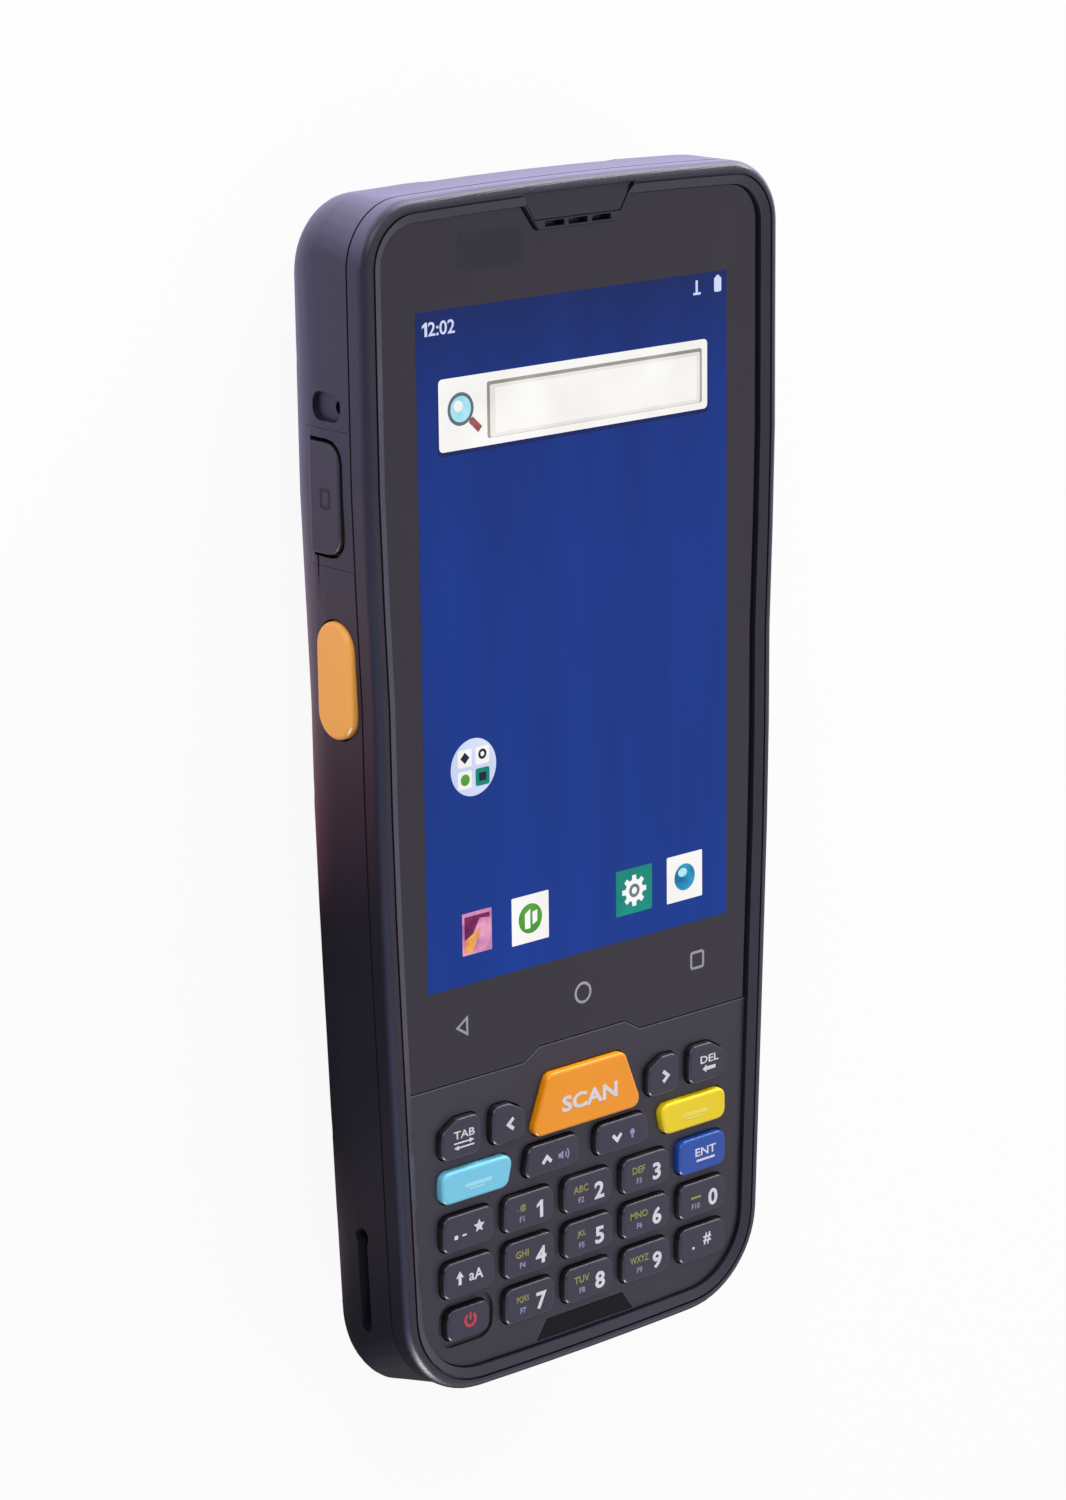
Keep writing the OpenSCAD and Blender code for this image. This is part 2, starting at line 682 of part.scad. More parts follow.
// Seat of the cover, and the bay that it closes
module battery_bay() {
    difference() {
        cover_column(cover_gap, ledge_top + 1);
        tub(cover_wall + cover_gap, eps);
    }
    bay_column(0, bay_top);
    // nail notch at the cover's foot edge
    rod(0, battery_y - cover_l / 2, 5, -eps, cover_wall + cover_gap);
    // openings for the contact block and the card socket
    box(-contact_w / 2 - 0.3, contact_w / 2 + 0.3, bay_end - 1, bay_end + bay_wall + eps,
        contact_z0 - 0.2, contact_z0 + contact_h + 0.2);
    box(-card_w / 2 - fit, card_w / 2 + fit, battery_y - card_l - fit, battery_y + fit,
        bay_top - eps, bay_top + bay_wall + eps);
}

module cover_column(grow, z1) {
    slab([0, battery_y], cover_w + 2 * grow, cover_l + 2 * grow, cover_r + grow, -eps, z1);
}

module bay_column(grow, z1) {
    play = bay_play + grow;
    slab([0, battery_y], battery_w + 2 * play, battery_l + 2 * play, 1.5 + grow, -eps, z1);
}

// The port is in the left side; its pieces are drawn on the right and mirrored
module port_side() {
    mirror([1, 0, 0]) children();
}

// Shape in the side, given as [along, height], reaching from x0 to x1
module side_prism(pts, x0, x1) {
    translate([x0, 0, 0]) rotate([90, 0, 90]) linear_extrude(x1 - x0) polygon(pts);
}

function side_rect(y, z, l, h) = [for (p = rect(l, h)) [y, z] + p];

module port_block(grow, z1) {
    half_l = port_cover_l / 2 + 1.4 + grow;
    box(pocket_x - 1.2 - grow, head_w, port_y - half_l, port_y + half_l, hinge_z - hinge_r - 1.4 - grow, z1);
}

// Frame of the port bay: its outer face carries on the case's side, and the front case holds it down
module port_frame() {
    color(HOUSING) port_side() difference() {
        intersection() {
            tub(0);
            port_block(0, part_z);
        }
        port_cuts();
        gasket(part_z - gasket_t, part_z + eps);
        // behind the wall it stays below the display module
        box(0, port_x - wall, port_y - port_cover_l, port_y + port_cover_l, frame_top - 0.1, part_z + eps);
    }
}

module port_cuts() {
    seat_gap = 0.25;
    // seat of the flap and of its hinge bead
    intersection() {
        side_prism(rounded(grown(flap_outline(), seat_gap), flap_r + seat_gap), port_seat_x, port_x + 1);
        box(port_seat_x - 1, port_x + 2, port_y - port_cover_l, port_y + port_cover_l,
            hinge_z - hinge_r - seat_gap, body_t);
    }
    // pocket and connector hole
    side_prism(rounded(side_rect(port_y, pocket_z, port_pocket_l, port_pocket_h), 0.8),
        pocket_x, port_seat_x + eps);
    side_prism(rounded(grown(usb_outline(), 0.1), usb_r + 0.1), pocket_x - 3, pocket_x + eps);
    // groove that the flap's strap leaves, down to the trigger
    box(port_x - 0.5, port_x + 1, trigger_y + trigger_l / 2 + 1, port_y - port_cover_l / 2,
        hinge_z - 0.3, hinge_z + 0.3);
    // nail notch above the flap, with its eyelet
    side_prism(rounded(side_rect(notch_y, pocket_z, 3.6, 5.6), 1.5), port_x - 0.8, port_x + 1);
    translate([port_x - 1.5, notch_y, pocket_z + 1.7]) rotate([0, 90, 0]) cylinder(r = 0.8, h = 2);
}

// The flap runs past its hinge line, where it is cut off
function flap_outline() = side_rect(port_y, hinge_z + port_cover_h / 2 - 2, port_cover_l, port_cover_h + 4);
function usb_outline() = side_rect(port_y, pocket_z, usb_w, usb_h);

module port_cover() {
    color(BLACK) port_side() {
        intersection() {
            side_prism(rounded(flap_outline(), flap_r),
                port_x + port_proud - port_cover_t, port_x + port_proud);
            box(0, head_w, port_y - port_cover_l, port_y + port_cover_l, hinge_z, body_t);
        }
        translate([hinge_x, port_y - port_cover_l / 2, hinge_z]) rotate([-90, 0, 0])
            cylinder(r = hinge_r, h = port_cover_l);
    }
}

module strap_block() {
    strap_wall = 1.2;
    half_l = strap_slot_l / 2 + strap_wall;
    box(strap_x - strap_pocket_d - strap_wall, strap_x, strap_y - half_l, strap_y + half_l,
        -eps, strap_z + strap_slot_w / 2 + strap_wall);
}

// A slot in the side that turns down behind a bar and comes out of the flank
module strap_cuts() {
    pill(strap_slot_l, strap_slot_w, strap_x - strap_pocket_d, strap_x + 2, strap_y, strap_z);
    half_l = strap_slot_l / 2 - strap_slot_w / 2;
    box(strap_x - strap_pocket_d, strap_x - strap_bar, strap_y - half_l, strap_y + half_l, -eps, strap_z);
    translate([strap_x - 1.5, strap_y + half_l, strap_z]) rotate([0, 90, 0])
        cylinder(r = strap_slot_w / 2 + 0.3, h = 3);
}

// Frame of the scan window: Y is its outward normal
module at_window() {
    translate([0, window_y, window_z]) rotate([-window_tilt, 0, 0]) children();
}

module window_column(grow, y0, y1) {
    opening = rounded(rect(window_w + 2 * grow, window_h + 2 * grow), max(0.6, 1.6 + grow));
    translate([0, y1, 0]) rotate([90, 0, 0]) linear_extrude(y1 - y0) polygon(opening);
}

module gasket(z0, z1) {
    difference() {
        prism(outline(0.7), z0, z1);
        prism(outline(1.4), z0 - eps, z1 + eps);
    }
}

module case_gasket() {
    color(BLACK) gasket(part_z - gasket_t, part_z);
}

// ---- front pieces ----

module touch_glass() {
    color("#3f3b45") difference() {
        prism(outline(rim_w + fit), seat_z, glass_top);
        prism(below_split(fit), seat_z - eps, glass_top + eps);
        prism(tab(fit), seat_z - eps, glass_top + eps);
    }
}

module lcd_module() {
    color("#26368f") difference() {
        slab([0, screen_y], lcd_w, lcd_l, 0.8, frame_top, lcd_top);
        slab([0, screen_y], screen_w, screen_l, 0.2, lcd_top - 0.05, lcd_top + eps);
    }
}

// Plate behind the display, with a lower tray behind the keypad and posts down to the main board
module mid_frame() {
    color(METAL) difference() {
        union() {
            intersection() {
                prism(outline(frame_inset), frame_z, frame_top);
                box(-head_w, head_w, riser_y, head_y, frame_z, frame_top);
            }
            intersection() {
                prism(outline(frame_inset), tray_z, tray_z + frame_t);
                box(-head_w, head_w, foot_y, riser_y + frame_t, tray_z, tray_z + frame_t);
            }
            box(-20, 20, riser_y, riser_y + frame_t, tray_z, frame_top);
            both_sides() for (y = board_ends)
                rod(post_x, y, post_r, main_board_z + main_board_t, frame_z + eps);
        }
        both_sides() for (p = screw_places) rod(p.x, p.y, nut_boss_r + fit, tray_z - eps, frame_top + eps);
        port_side() port_block(fit, part_z);
    }
}

module keypad_panel() {
    color(PANEL) difference() {
        intersection() {
            prism(outline(rim_w + fit), seat_z, glass_top);
            prism(below_split(0), seat_z, glass_top);
        }
        for (name = KEYS) let (d = key_data(name)) translate([d[0].x, d[0].y, 0])
            prism(rounded(grown(d[1], key_gap), key_r + key_gap), seat_z - eps, glass_top + eps);
        // dished ring round the power key
        translate([col_x(1), row_y(5), 0])
            prism(rounded(grown(power_key, 1), key_r + 1), glass_top - 0.4, glass_top + eps);
        prism(foot_badge(press), glass_top - badge_t, glass_top + eps);
    }
}

module keypad_sheet(inset, z0, z1) {
    slab([0, (field_y0 + field_y1) / 2], 2 * (field_half_w + 0.2 - inset),
        field_y1 - field_y0 + 1.2 - 2 * inset, 2, z0, z1);
}

module keypad_mat() {
    color("#3a3944") difference() {
        keypad_sheet(0, board_top, mat_top);
        keypad_sheet(0.4, board_top - eps, mat_top - mat_t);
        for (name = KEYS) let (c = key_data(name)[0])
            rod(c.x, c.y, plunger_r + key_gap, board_top, mat_top + eps);
    }
}

module keypad_board() {
    color(BOARD) {
        keypad_sheet(0, board_top - board_t, board_top);
    }
}

module key_domes() {
    color(METAL) for (name = KEYS) let (c = key_data(name)[0])
        translate([c.x, c.y, board_top]) cylinder(r1 = plunger_r + 0.4, r2 = plunger_r - 0.6, h = dome_h);
}

module badge_plate() {
    color(BLACK) prism(badge(0), tab_top - 0.4, tab_top - 0.4 + badge_t);
}

module name_plate() {
    color(BLACK) prism(foot_badge(0), glass_top - badge_t, glass_top + 0.05);
}

// ---- inner pieces ----

module main_board() {
    color(BOARD) difference() {
        slab([0, (main_board_y0 + main_board_y1) / 2], 2 * board_half_w, main_board_y1 - main_board_y0, 2,
            main_board_z, main_board_z + main_board_t);
        both_sides() for (p = screw_places) rod(p.x, p.y, boss_r + fit, 0, body_t);
    }
}

// Folded cans over the power, processor and radio parts, as [x, width, length]
module shield_cans() {
    z = main_board_z + main_board_t;
    board_l = main_board_y1 - main_board_y0;
    cans = [[-4, 24, 0.22], [6, 22, 0.26], [-6, 18, 0.18]];
    color(METAL) for (k = [0:2]) let (can = cans[k])
        slab([can.x, main_board_y0 + board_l * (0.2 + 0.32 * k)], can.y, can.z * board_l, 1, z, z + can_h);
}

module scan_engine() {
    face_y = engine_y + engine_l / 2;
    lens = [-3, window_z];
    color("#2a2a30") difference() {
        union() {
            box(-engine_w / 2, engine_w / 2, engine_y - engine_l / 2, face_y, engine_z, engine_z + engine_h);
            along_y(lens, 3.4, face_y - eps, face_y + 0.6);
        }
        // lens, lamp and aiming light
        along_y(lens, 2.4, face_y, face_y + 1);
        along_y(lens + [8, 1.8], 1.4, face_y - 1, face_y + 1);
        along_y(lens + [8, -1.8], 1, face_y - 1, face_y + 1);
    }
}

// Rod along Y round a point [x, height]
module along_y(c, r, y0, y1) {
    translate([c.x, y0, c.y]) rotate([-90, 0, 0]) cylinder(r = r, h = y1 - y0);
}

module scan_window() {
    color("#0b0a10") at_window() window_column(0, -window_t, 0);
}

module camera_module() {
    color("#1c1c20") {
        slab([-camera_x, camera_y], camera_body, camera_body, 0.6, wall, wall + camera_depth);
        rod(-camera_x, camera_y, camera_r, camera_seat_z + 0.1, wall + eps);
        slab([camera_x, camera_y], flash_size, flash_size, 0.4, wall, wall + 1.4);
        box(-camera_x, camera_x, camera_y - 1.5, camera_y + 1.5, wall, wall + 0.4);
    }
}

module camera_window() {
    color("#0d0d12") slab([0, camera_y], camera_window_w, camera_window_l, camera_window_l / 2 - 0.1,
        0.15, camera_seat_z - 0.05);
}

module front_sensor() {
    color(BLACK) {
        box(-18, -9.4, tab_y - 3.7, tab_y + 0.3, frame_top, lcd_top - 0.3);
        for (x = [-16, -12]) rod(x, tab_y - 1.7, 1.3, lcd_top - 0.4, lcd_top);
    }
}

module earpiece() {
    color(METAL) slab([0, tab_y], 12, 4, 1, frame_top, seat_z - 0.1);
}

module loudspeaker() {
    color("#26262b") {
        slab([speaker_x, floor_y], speaker_w, speaker_l, 2, wall, wall + 0.8 * speaker_t);
        slab([speaker_x, floor_y], speaker_w - 4, speaker_l - 4, 2, wall + 0.7 * speaker_t, wall + speaker_t);
    }
}

module microphone() {
    color(GOLD) box(-mic_x - 1.8, -mic_x + 1.8, foot_y + wall + 0.35, foot_y + wall + 1.5,
        contact_z - 1.4, contact_z + 1.4);
}

module vibration_motor() {
    color(METAL) {
        rod(-speaker_x, floor_y, motor_r, wall, wall + motor_t);
        box(-speaker_x - motor_r - 3, -speaker_x, floor_y - 1.5, floor_y + 1.5, wall, wall + 0.3);
    }
}

// Side-acting switches that hang under the frame, one behind each trigger
module side_switches() {
    color("#26262b") both_sides() {
        box(plunger_x - 4.6, plunger_x - 1.2, trigger_y - 2.4, trigger_y + 2.4, trigger_z - 2, frame_z);
        translate([plunger_x - 1.4, trigger_y, trigger_z]) rotate([0, 90, 0]) cylinder(r = 1, h = 1.4);
    }
}

module usb_connector() {
    color(METAL) port_side() {
        difference() {
            side_prism(rounded(usb_outline(), usb_r), pocket_x - 7, pocket_x);
            side_prism(rounded(grown(usb_outline(), -0.35), usb_r - 0.35), pocket_x - 6, pocket_x + eps);
        }
        side_prism(side_rect(port_y, pocket_z, usb_w - 2.4, 0.7), pocket_x - 6.5, pocket_x - 0.6);
        box(pocket_x - 7, pocket_x - 3.4, port_y - usb_w / 2 + 0.5, port_y + usb_w / 2 - 0.5,
            main_board_z + main_board_t, pocket_z - usb_h / 2 + 0.2);
    }
}

// Spring blades in a block that stands down from the main board
module battery_contacts() {
    color(GOLD) {
        box(-contact_w / 2, contact_w / 2, bay_end + 0.3, bay_end + 4.4, contact_z0, contact_z0 + contact_h);
        box(-contact_w / 2, contact_w / 2, bay_end + bay_wall + 0.6, bay_end + 4.4, contact_z0, main_board_z);
        for (x = [-4.2, -1.4, 1.4, 4.2])
            box(x - 0.5, x + 0.5, bay_end - bay_play + 0.1, bay_end + eps,
                contact_z0 + 1, contact_z0 + contact_h - 1);
    }
}

module card_socket() {
    color(METAL) difference() {
        box(-card_w / 2, card_w / 2, battery_y - card_l, battery_y, bay_top, bay_top + bay_wall);
        box(-card_w / 2 + 1, card_w / 2 - 1, battery_y - card_l - eps, battery_y - 2,
            bay_top + 0.3, bay_top + 1.1);
    }
}

// Flexible strip on the inside of the right wall
module antenna() {
    color(GOLD) box(port_x - wall - 0.45, port_x - wall - 0.15, port_y - 2, port_y + 13,
        side_z + 0.3, part_z - 1.2);
}

module case_screws() {
    color(METAL) both_sides() for (p = screw_places) difference() {
        union() {
            rod(p.x, p.y, screw_head_r, screw_seat_z - screw_head_h, screw_seat_z);
            rod(p.x, p.y, screw_r, screw_seat_z - eps, part_z - 0.6);
        }
        translate([p.x, p.y, screw_seat_z - screw_head_h - eps]) cylinder(r = 0.9, h = eps + 0.8, $fn = 6);
    }
}

module cradle_contacts() {
    color(GOLD) {
        for (x = contact_places)
            box(x - 1.1, x + 1.1, foot_y + 0.35, foot_y + wall + 0.8, contact_z - 1.45, contact_z + 1.45);
        box(contact_places[0] - 2, -contact_places[0] + 2, foot_y + wall + 0.35, foot_y + wall + 1.4,
            contact_z - 2, contact_z + 2);
    }
}

// ---- moving pieces ----

// The trigger's round-ended outline, grown evenly
module trigger_pill(grow, x0, x1) {
    pill(trigger_l + 2 * grow, trigger_w + 2 * grow, x0, x1, trigger_y, trigger_z);
}

// Drawn on the right: a domed cap, its body through the wall, and a flange inside
module trigger() {
    color(ORANGE) {
        hull() {
            trigger_pill(0, trigger_x - 0.5, trigger_x + trigger_proud * 0.4, $fn = 32);
            trigger_pill(-0.5, trigger_x, trigger_x + trigger_proud, $fn = 32);
        }
        trigger_pill(0, trigger_inner_x, trigger_x - 0.4);
        trigger_pill(trigger_flange, trigger_x - wall - 0.1 - trigger_flange_t, trigger_x - wall - 0.1);
    }
}

module left_trigger() {
    mirror([1, 0, 0]) trigger();
}

module right_trigger() {
    trigger();
}

// Part of the tub's own skin, so that it follows the flanks
module battery_cover() {
    color(HOUSING) intersection() {
        difference() {
            tub(0);
            tub(cover_wall, eps);
        }
        cover_column(0, ledge_top + 1);
    }
}

// Its lower edges follow the cover's inner skin
module battery_pack() {
    color("#3b3f4a") difference() {
        intersection() {
            slab([0, battery_y], battery_w, battery_l, 2, battery_z, battery_z + battery_t);
            tub(cover_wall + 0.4, eps);
        }
        // contact lands in the head end, and the label's recess
        for (x = [-4.2, -1.4, 1.4, 4.2])
            box(x - 0.8, x + 0.8, battery_y + battery_l / 2 - 0.4, battery_y + battery_l / 2 + eps,
                contact_z0 + 0.6, contact_z0 + contact_h - 0.6);
        slab([0, battery_y], battery_w - 6, battery_l - 10, 1.5, battery_z - eps, battery_z + 0.2);
    }
}

front_case();
rear_case();
case_gasket();
touch_glass();
lcd_module();
mid_frame();
keypad_panel();
keypad_mat();
keypad_board();
key_domes();
main_board();
shield_cans();
scan_engine();
scan_window();
camera_module();
camera_window();
front_sensor();
earpiece();
loudspeaker();
microphone();
vibration_motor();
side_switches();
usb_connector();
port_frame();
battery_contacts();
card_socket();
antenna();
case_screws();
badge_plate();
name_plate();
cradle_contacts();
left_trigger();
right_trigger();
port_cover();
battery_cover();
battery_pack();
for (name = KEYS) key(name);
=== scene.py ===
# A handheld barcode data terminal, dressed in the order in which it is put together.
# Millimetre sizes are turned to metres where a mesh is made; X across, Y to the head, Z out of the display.
import math

import bmesh
import bpy
from mathutils import Matrix, Vector


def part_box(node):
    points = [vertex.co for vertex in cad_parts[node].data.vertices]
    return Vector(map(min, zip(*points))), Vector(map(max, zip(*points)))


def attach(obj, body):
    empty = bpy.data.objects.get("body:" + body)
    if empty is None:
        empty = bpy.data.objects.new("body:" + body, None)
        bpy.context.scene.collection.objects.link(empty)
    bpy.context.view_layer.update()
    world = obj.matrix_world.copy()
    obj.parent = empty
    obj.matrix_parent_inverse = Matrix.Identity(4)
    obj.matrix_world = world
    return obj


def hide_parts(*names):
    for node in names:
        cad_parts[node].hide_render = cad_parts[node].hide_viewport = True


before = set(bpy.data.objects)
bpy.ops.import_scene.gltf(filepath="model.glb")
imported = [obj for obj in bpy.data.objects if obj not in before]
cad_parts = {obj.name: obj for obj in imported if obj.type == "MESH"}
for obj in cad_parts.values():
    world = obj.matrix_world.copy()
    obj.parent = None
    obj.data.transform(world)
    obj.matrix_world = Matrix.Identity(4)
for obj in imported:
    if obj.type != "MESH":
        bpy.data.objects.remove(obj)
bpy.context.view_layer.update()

# ---- Studio ----
# A pale table and an even white surround, with a soft box beyond the head, one above the head's left
# corner and a narrow one at the foot. The camera stands to the left of the head and looks down.

MM = 0.001


def linear(colour, alpha=1.0):
    """An sRGB hex colour as the linear values that Blender's sockets take."""
    channels = [int(colour[k : k + 2], 16) / 255 for k in (1, 3, 5)]
    return [c / 12.92 if c <= 0.04045 else ((c + 0.055) / 1.055) ** 2.4 for c in channels] + [alpha]


def add(tree, kind, values=None, links=None, stops=None, **settings):
    """One node in a tree, with its settings, its sockets' values, a ramp's stops, and what feeds it.

    A node that feeds it stands for its first output, and a list feeds one socket with all it holds."""
    made = tree.nodes.new(kind)
    for name, value in settings.items():
        setattr(made, name, value)
    for socket, value in (values or {}).items():
        made.inputs[socket].default_value = value
    for socket, sources in (links or {}).items():
        for source in sources if isinstance(sources, list) else [sources]:
            source = source.outputs[0] if isinstance(source, bpy.types.Node) else source
            tree.links.new(source, made.inputs[socket])
    if stops:
        ramp = made.color_ramp.elements
        while len(ramp) < len(stops):
            ramp.new(0.5)
        for element, (place, colour) in zip(ramp, stops):
            element.position, element.color = place, linear(colour)
    return made


def blank_material(name):
    """A material and its empty node tree."""
    material = bpy.data.materials.new(name)
    material.use_nodes = True
    material.node_tree.nodes.clear()
    return material, material.node_tree


CAMERA_PLACE = (-337.4, 139.2, 405.1)
CAMERA_RIGHT = (0.75369, -0.01183, 0.65712)
CAMERA_UP = (0.17685, 0.96661, -0.18544)
CAMERA_LENS = 97.75

camera = bpy.data.objects.new("camera", bpy.data.cameras.new("camera"))
camera.data.lens = CAMERA_LENS
right, up = Vector(CAMERA_RIGHT).normalized(), Vector(CAMERA_UP).normalized()
turned = Matrix((right, up, right.cross(up))).transposed().to_4x4()
camera.matrix_world = Matrix.Translation(Vector(CAMERA_PLACE) * MM) @ turned
bpy.context.scene.collection.objects.link(camera)
bpy.context.scene.camera = camera
bpy.context.scene.view_settings.view_transform = "Standard"

FLOOR_SIZE = 3.0
FLOOR_COLOUR = "#f4f4f5"
FLOOR_GLOW = 0.92
BESIDE_GLOW, BEYOND_GLOW = 1.4, 5.0
half = FLOOR_SIZE / 2
floor_mesh = bpy.data.meshes.new("floor")
floor_mesh.from_pydata([(-half, -half, 0), (half, -half, 0), (half, half, 0), (-half, half, 0)], [],
                       [(0, 1, 2, 3)])
floor = bpy.data.objects.new("floor", floor_mesh)
bpy.context.scene.collection.objects.link(floor)

# Matt paper. The camera and clear plastic see it as white with a soft shadow. Gloss sees it in bands along
# the object: bright beyond the head, pale beside it, reddish at the waist, dark beside the keypad, and a
# little paler before the foot.
paper, tree = blank_material("table_paper")
matt = add(tree, "ShaderNodeBsdfDiffuse", {"Color": linear(FLOOR_COLOUR)})
white = add(tree, "ShaderNodeEmission", {"Color": linear("#ffffff"), "Strength": 1.0})
place = add(tree, "ShaderNodeTexCoord")
split = add(tree, "ShaderNodeSeparateXYZ", links={0: place.outputs["Object"]})
along = add(tree, "ShaderNodeMapRange", {"From Min": -0.08, "From Max": 0.08}, {"Value": split.outputs["Y"]})
bands = add(tree, "ShaderNodeValToRGB", links={"Fac": along},
            stops=[(0.03, "#2a1c20"), (0.1, "#766770"), (0.2, "#150a0e"), (0.39, "#1a0c11"),
                   (0.47, "#b27386"), (0.58, "#dbbccc"), (0.8, "#dcd2ff")])
beyond = add(tree, "ShaderNodeMapRange",
             {"From Min": 0.075, "From Max": 0.1, "To Min": BESIDE_GLOW, "To Max": BEYOND_GLOW},
             {"Value": split.outputs["Y"]})
card = add(tree, "ShaderNodeEmission", links={"Color": bands, "Strength": beyond})
path = add(tree, "ShaderNodeLightPath")
glow = add(tree, "ShaderNodeMixShader", links={0: path.outputs["Is Glossy Ray"], 1: white, 2: card})
seen = add(tree, "ShaderNodeMath", links={0: path.outputs["Is Camera Ray"], 1: path.outputs["Is Glossy Ray"]},
           operation="ADD")
seen = add(tree, "ShaderNodeMath", links={0: seen, 1: path.outputs["Is Transmission Ray"]},
           operation="ADD", use_clamp=True)
share = add(tree, "ShaderNodeMath", {1: FLOOR_GLOW}, {0: seen}, operation="MULTIPLY")
mixed = add(tree, "ShaderNodeMixShader", links={0: share, 1: matt, 2: glow})
add(tree, "ShaderNodeOutputMaterial", links={"Surface": mixed})
floor_mesh.materials.append(paper)

# The surround gives an even light. Gloss sees it pale on the right and over the ends, with a dark screen
# on the left, and a blue card on the left beyond the foot.
WORLD_LIGHT = 0.55
BLUE_CARD_LIGHT = 1.2
world = bpy.data.worlds.new("white_surround")
world.use_nodes = True
world.node_tree.nodes.clear()
tree = world.node_tree
path = add(tree, "ShaderNodeLightPath")
heading = add(tree, "ShaderNodeTexCoord")
split = add(tree, "ShaderNodeSeparateXYZ", links={0: heading.outputs["Generated"]})
screen = add(tree, "ShaderNodeMapRange", {"From Min": -0.75, "From Max": 0.1}, {"Value": split.outputs["X"]})
mirrored = add(tree, "ShaderNodeValToRGB", links={"Fac": screen}, stops=[(0.0, "#6a5f78"), (1.0, "#f1e8ff")])
footward = add(tree, "ShaderNodeMapRange", {"From Min": -0.12, "From Max": -0.42}, {"Value": split.outputs["Y"]})
leftward = add(tree, "ShaderNodeMapRange", {"From Min": -0.35, "From Max": -0.6}, {"Value": split.outputs["X"]})
blue_card = add(tree, "ShaderNodeMath", links={0: footward, 1: leftward}, operation="MULTIPLY")
mirrored = add(tree, "ShaderNodeMixRGB", {"Color2": linear("#a9c2fb")}, {"Fac": blue_card, "Color1": mirrored})
card_light = add(tree, "ShaderNodeMath", {1: BLUE_CARD_LIGHT, 2: 1.0}, {0: blue_card},
                 operation="MULTIPLY_ADD")
even = add(tree, "ShaderNodeBackground", {"Color": linear("#ffffff"), "Strength": WORLD_LIGHT})
gloss = add(tree, "ShaderNodeBackground", links={"Color": mirrored, "Strength": card_light})
white = add(tree, "ShaderNodeBackground", {"Color": linear("#ffffff"), "Strength": 1.0})
seen = add(tree, "ShaderNodeMath",
           links={0: path.outputs["Is Camera Ray"], 1: path.outputs["Is Transmission Ray"]},
           operation="ADD", use_clamp=True)
mixed = add(tree, "ShaderNodeMixShader", links={0: path.outputs["Is Glossy Ray"], 1: even, 2: gloss})
mixed = add(tree, "ShaderNodeMixShader", links={0: seen, 1: mixed, 2: white})
add(tree, "ShaderNodeOutputWorld", links={"Surface": mixed})
bpy.context.scene.world = world

# Soft boxes as [place, aim, width, height, watts]; the strip at the foot only draws a highlight on the rim.
SOFT_BOXES = {
    "head_box": [(0.6, 0.85, 0.17), (0, 0.06, 0.02), 1.1, 0.34, 13.0],
    "corner_box": [(-0.5, 0.7, 0.6), (0, 0.03, 0.01), 0.4, 0.4, 3.5],
    "foot_strip": [(-0.2, -0.9, 0.28), (-0.02, -0.07, 0.02), 0.2, 0.4, 10.0],
}
for name, (place, aim, width, height, watts) in SOFT_BOXES.items():
    lamp = bpy.data.lights.new(name, "AREA")
    lamp.shape = "RECTANGLE"
    lamp.size, lamp.size_y, lamp.energy = width, height, watts
    box = bpy.data.objects.new(name, lamp)
    box.location = place
    box.rotation_euler = (Vector(aim) - Vector(place)).to_track_quat("-Z", "Y").to_euler()
    bpy.context.scene.collection.objects.link(box)
    box.visible_diffuse = name != "foot_strip"

# ---- Rear case ----
# The tub that the terminal lies on: injection-moulded polycarbonate, near black, with a fine spark-eroded
# grain that blurs what it mirrors. It carries the boards, the battery bay and the scan window.


def moulded(name, colour, shade, roughness, grain=0.45, depth=0.02, patch=22.0, ior=1.5):
    """Moulded plastic: two close tones in soft patches, a fine grain, and gloss that varies a little."""
    material, tree = blank_material(name)
    place = add(tree, "ShaderNodeTexCoord").outputs["Object"]
    patches = add(tree, "ShaderNodeTexNoise", {"Scale": 1 / (patch * MM), "Detail": 3.0}, {"Vector": place})
    tone = add(tree, "ShaderNodeValToRGB", links={"Fac": patches}, stops=[(0.35, shade), (0.65, colour)])
    pits = add(tree, "ShaderNodeTexNoise", {"Scale": 1 / (grain * MM), "Detail": 2.0, "Roughness": 0.6},
               {"Vector": place})
    bump = add(tree, "ShaderNodeBump", {"Strength": 0.6, "Distance": depth * MM}, {"Height": pits})
    gloss = add(tree, "ShaderNodeMapRange", {"To Min": roughness - 0.05, "To Max": roughness + 0.06},
                {"Value": pits})
    surface = add(tree, "ShaderNodeBsdfPrincipled", {"IOR": ior},
                  {"Base Color": tone, "Roughness": gloss, "Normal": bump})
    add(tree, "ShaderNodeOutputMaterial", links={"Surface": surface})
    return material


def link(name, mesh, body, materials):
    """An object at the origin, with its materials, that rides on a body."""
    piece = bpy.data.objects.new(name, mesh)
    for material in materials:
        mesh.materials.append(material)
    bpy.context.scene.collection.objects.link(piece)
    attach(piece, body)
    return piece


def merged(node):
    """The CAD node's triangles, joined where they meet, to be worked on."""
    form = bmesh.new()
    form.from_mesh(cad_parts[node].data)
    bmesh.ops.remove_doubles(form, verts=form.verts, dist=0.002 * MM)
    for face in form.faces:
        face.smooth = True
        face.material_index = 0
    return form


# An edge over this angle stays crisp. Facets are halved where their edge is this long, turns at its two
# ends by amounts within this ratio, and has its new point move by this much.
CRISP = math.radians(32.0)
SHORTEST, LONGEST = 0.12 * MM, 4.5 * MM
TURN_RATIO, STEEPEST = 2.5, 0.3
LEAST_MOVE, MOST_MOVE = 0.008 * MM, 0.3 * MM
# the cosines between an edge's two sides past which they count as one side, or as opposite sides
ONE_SIDE, OPPOSITE = 0.97, -0.9


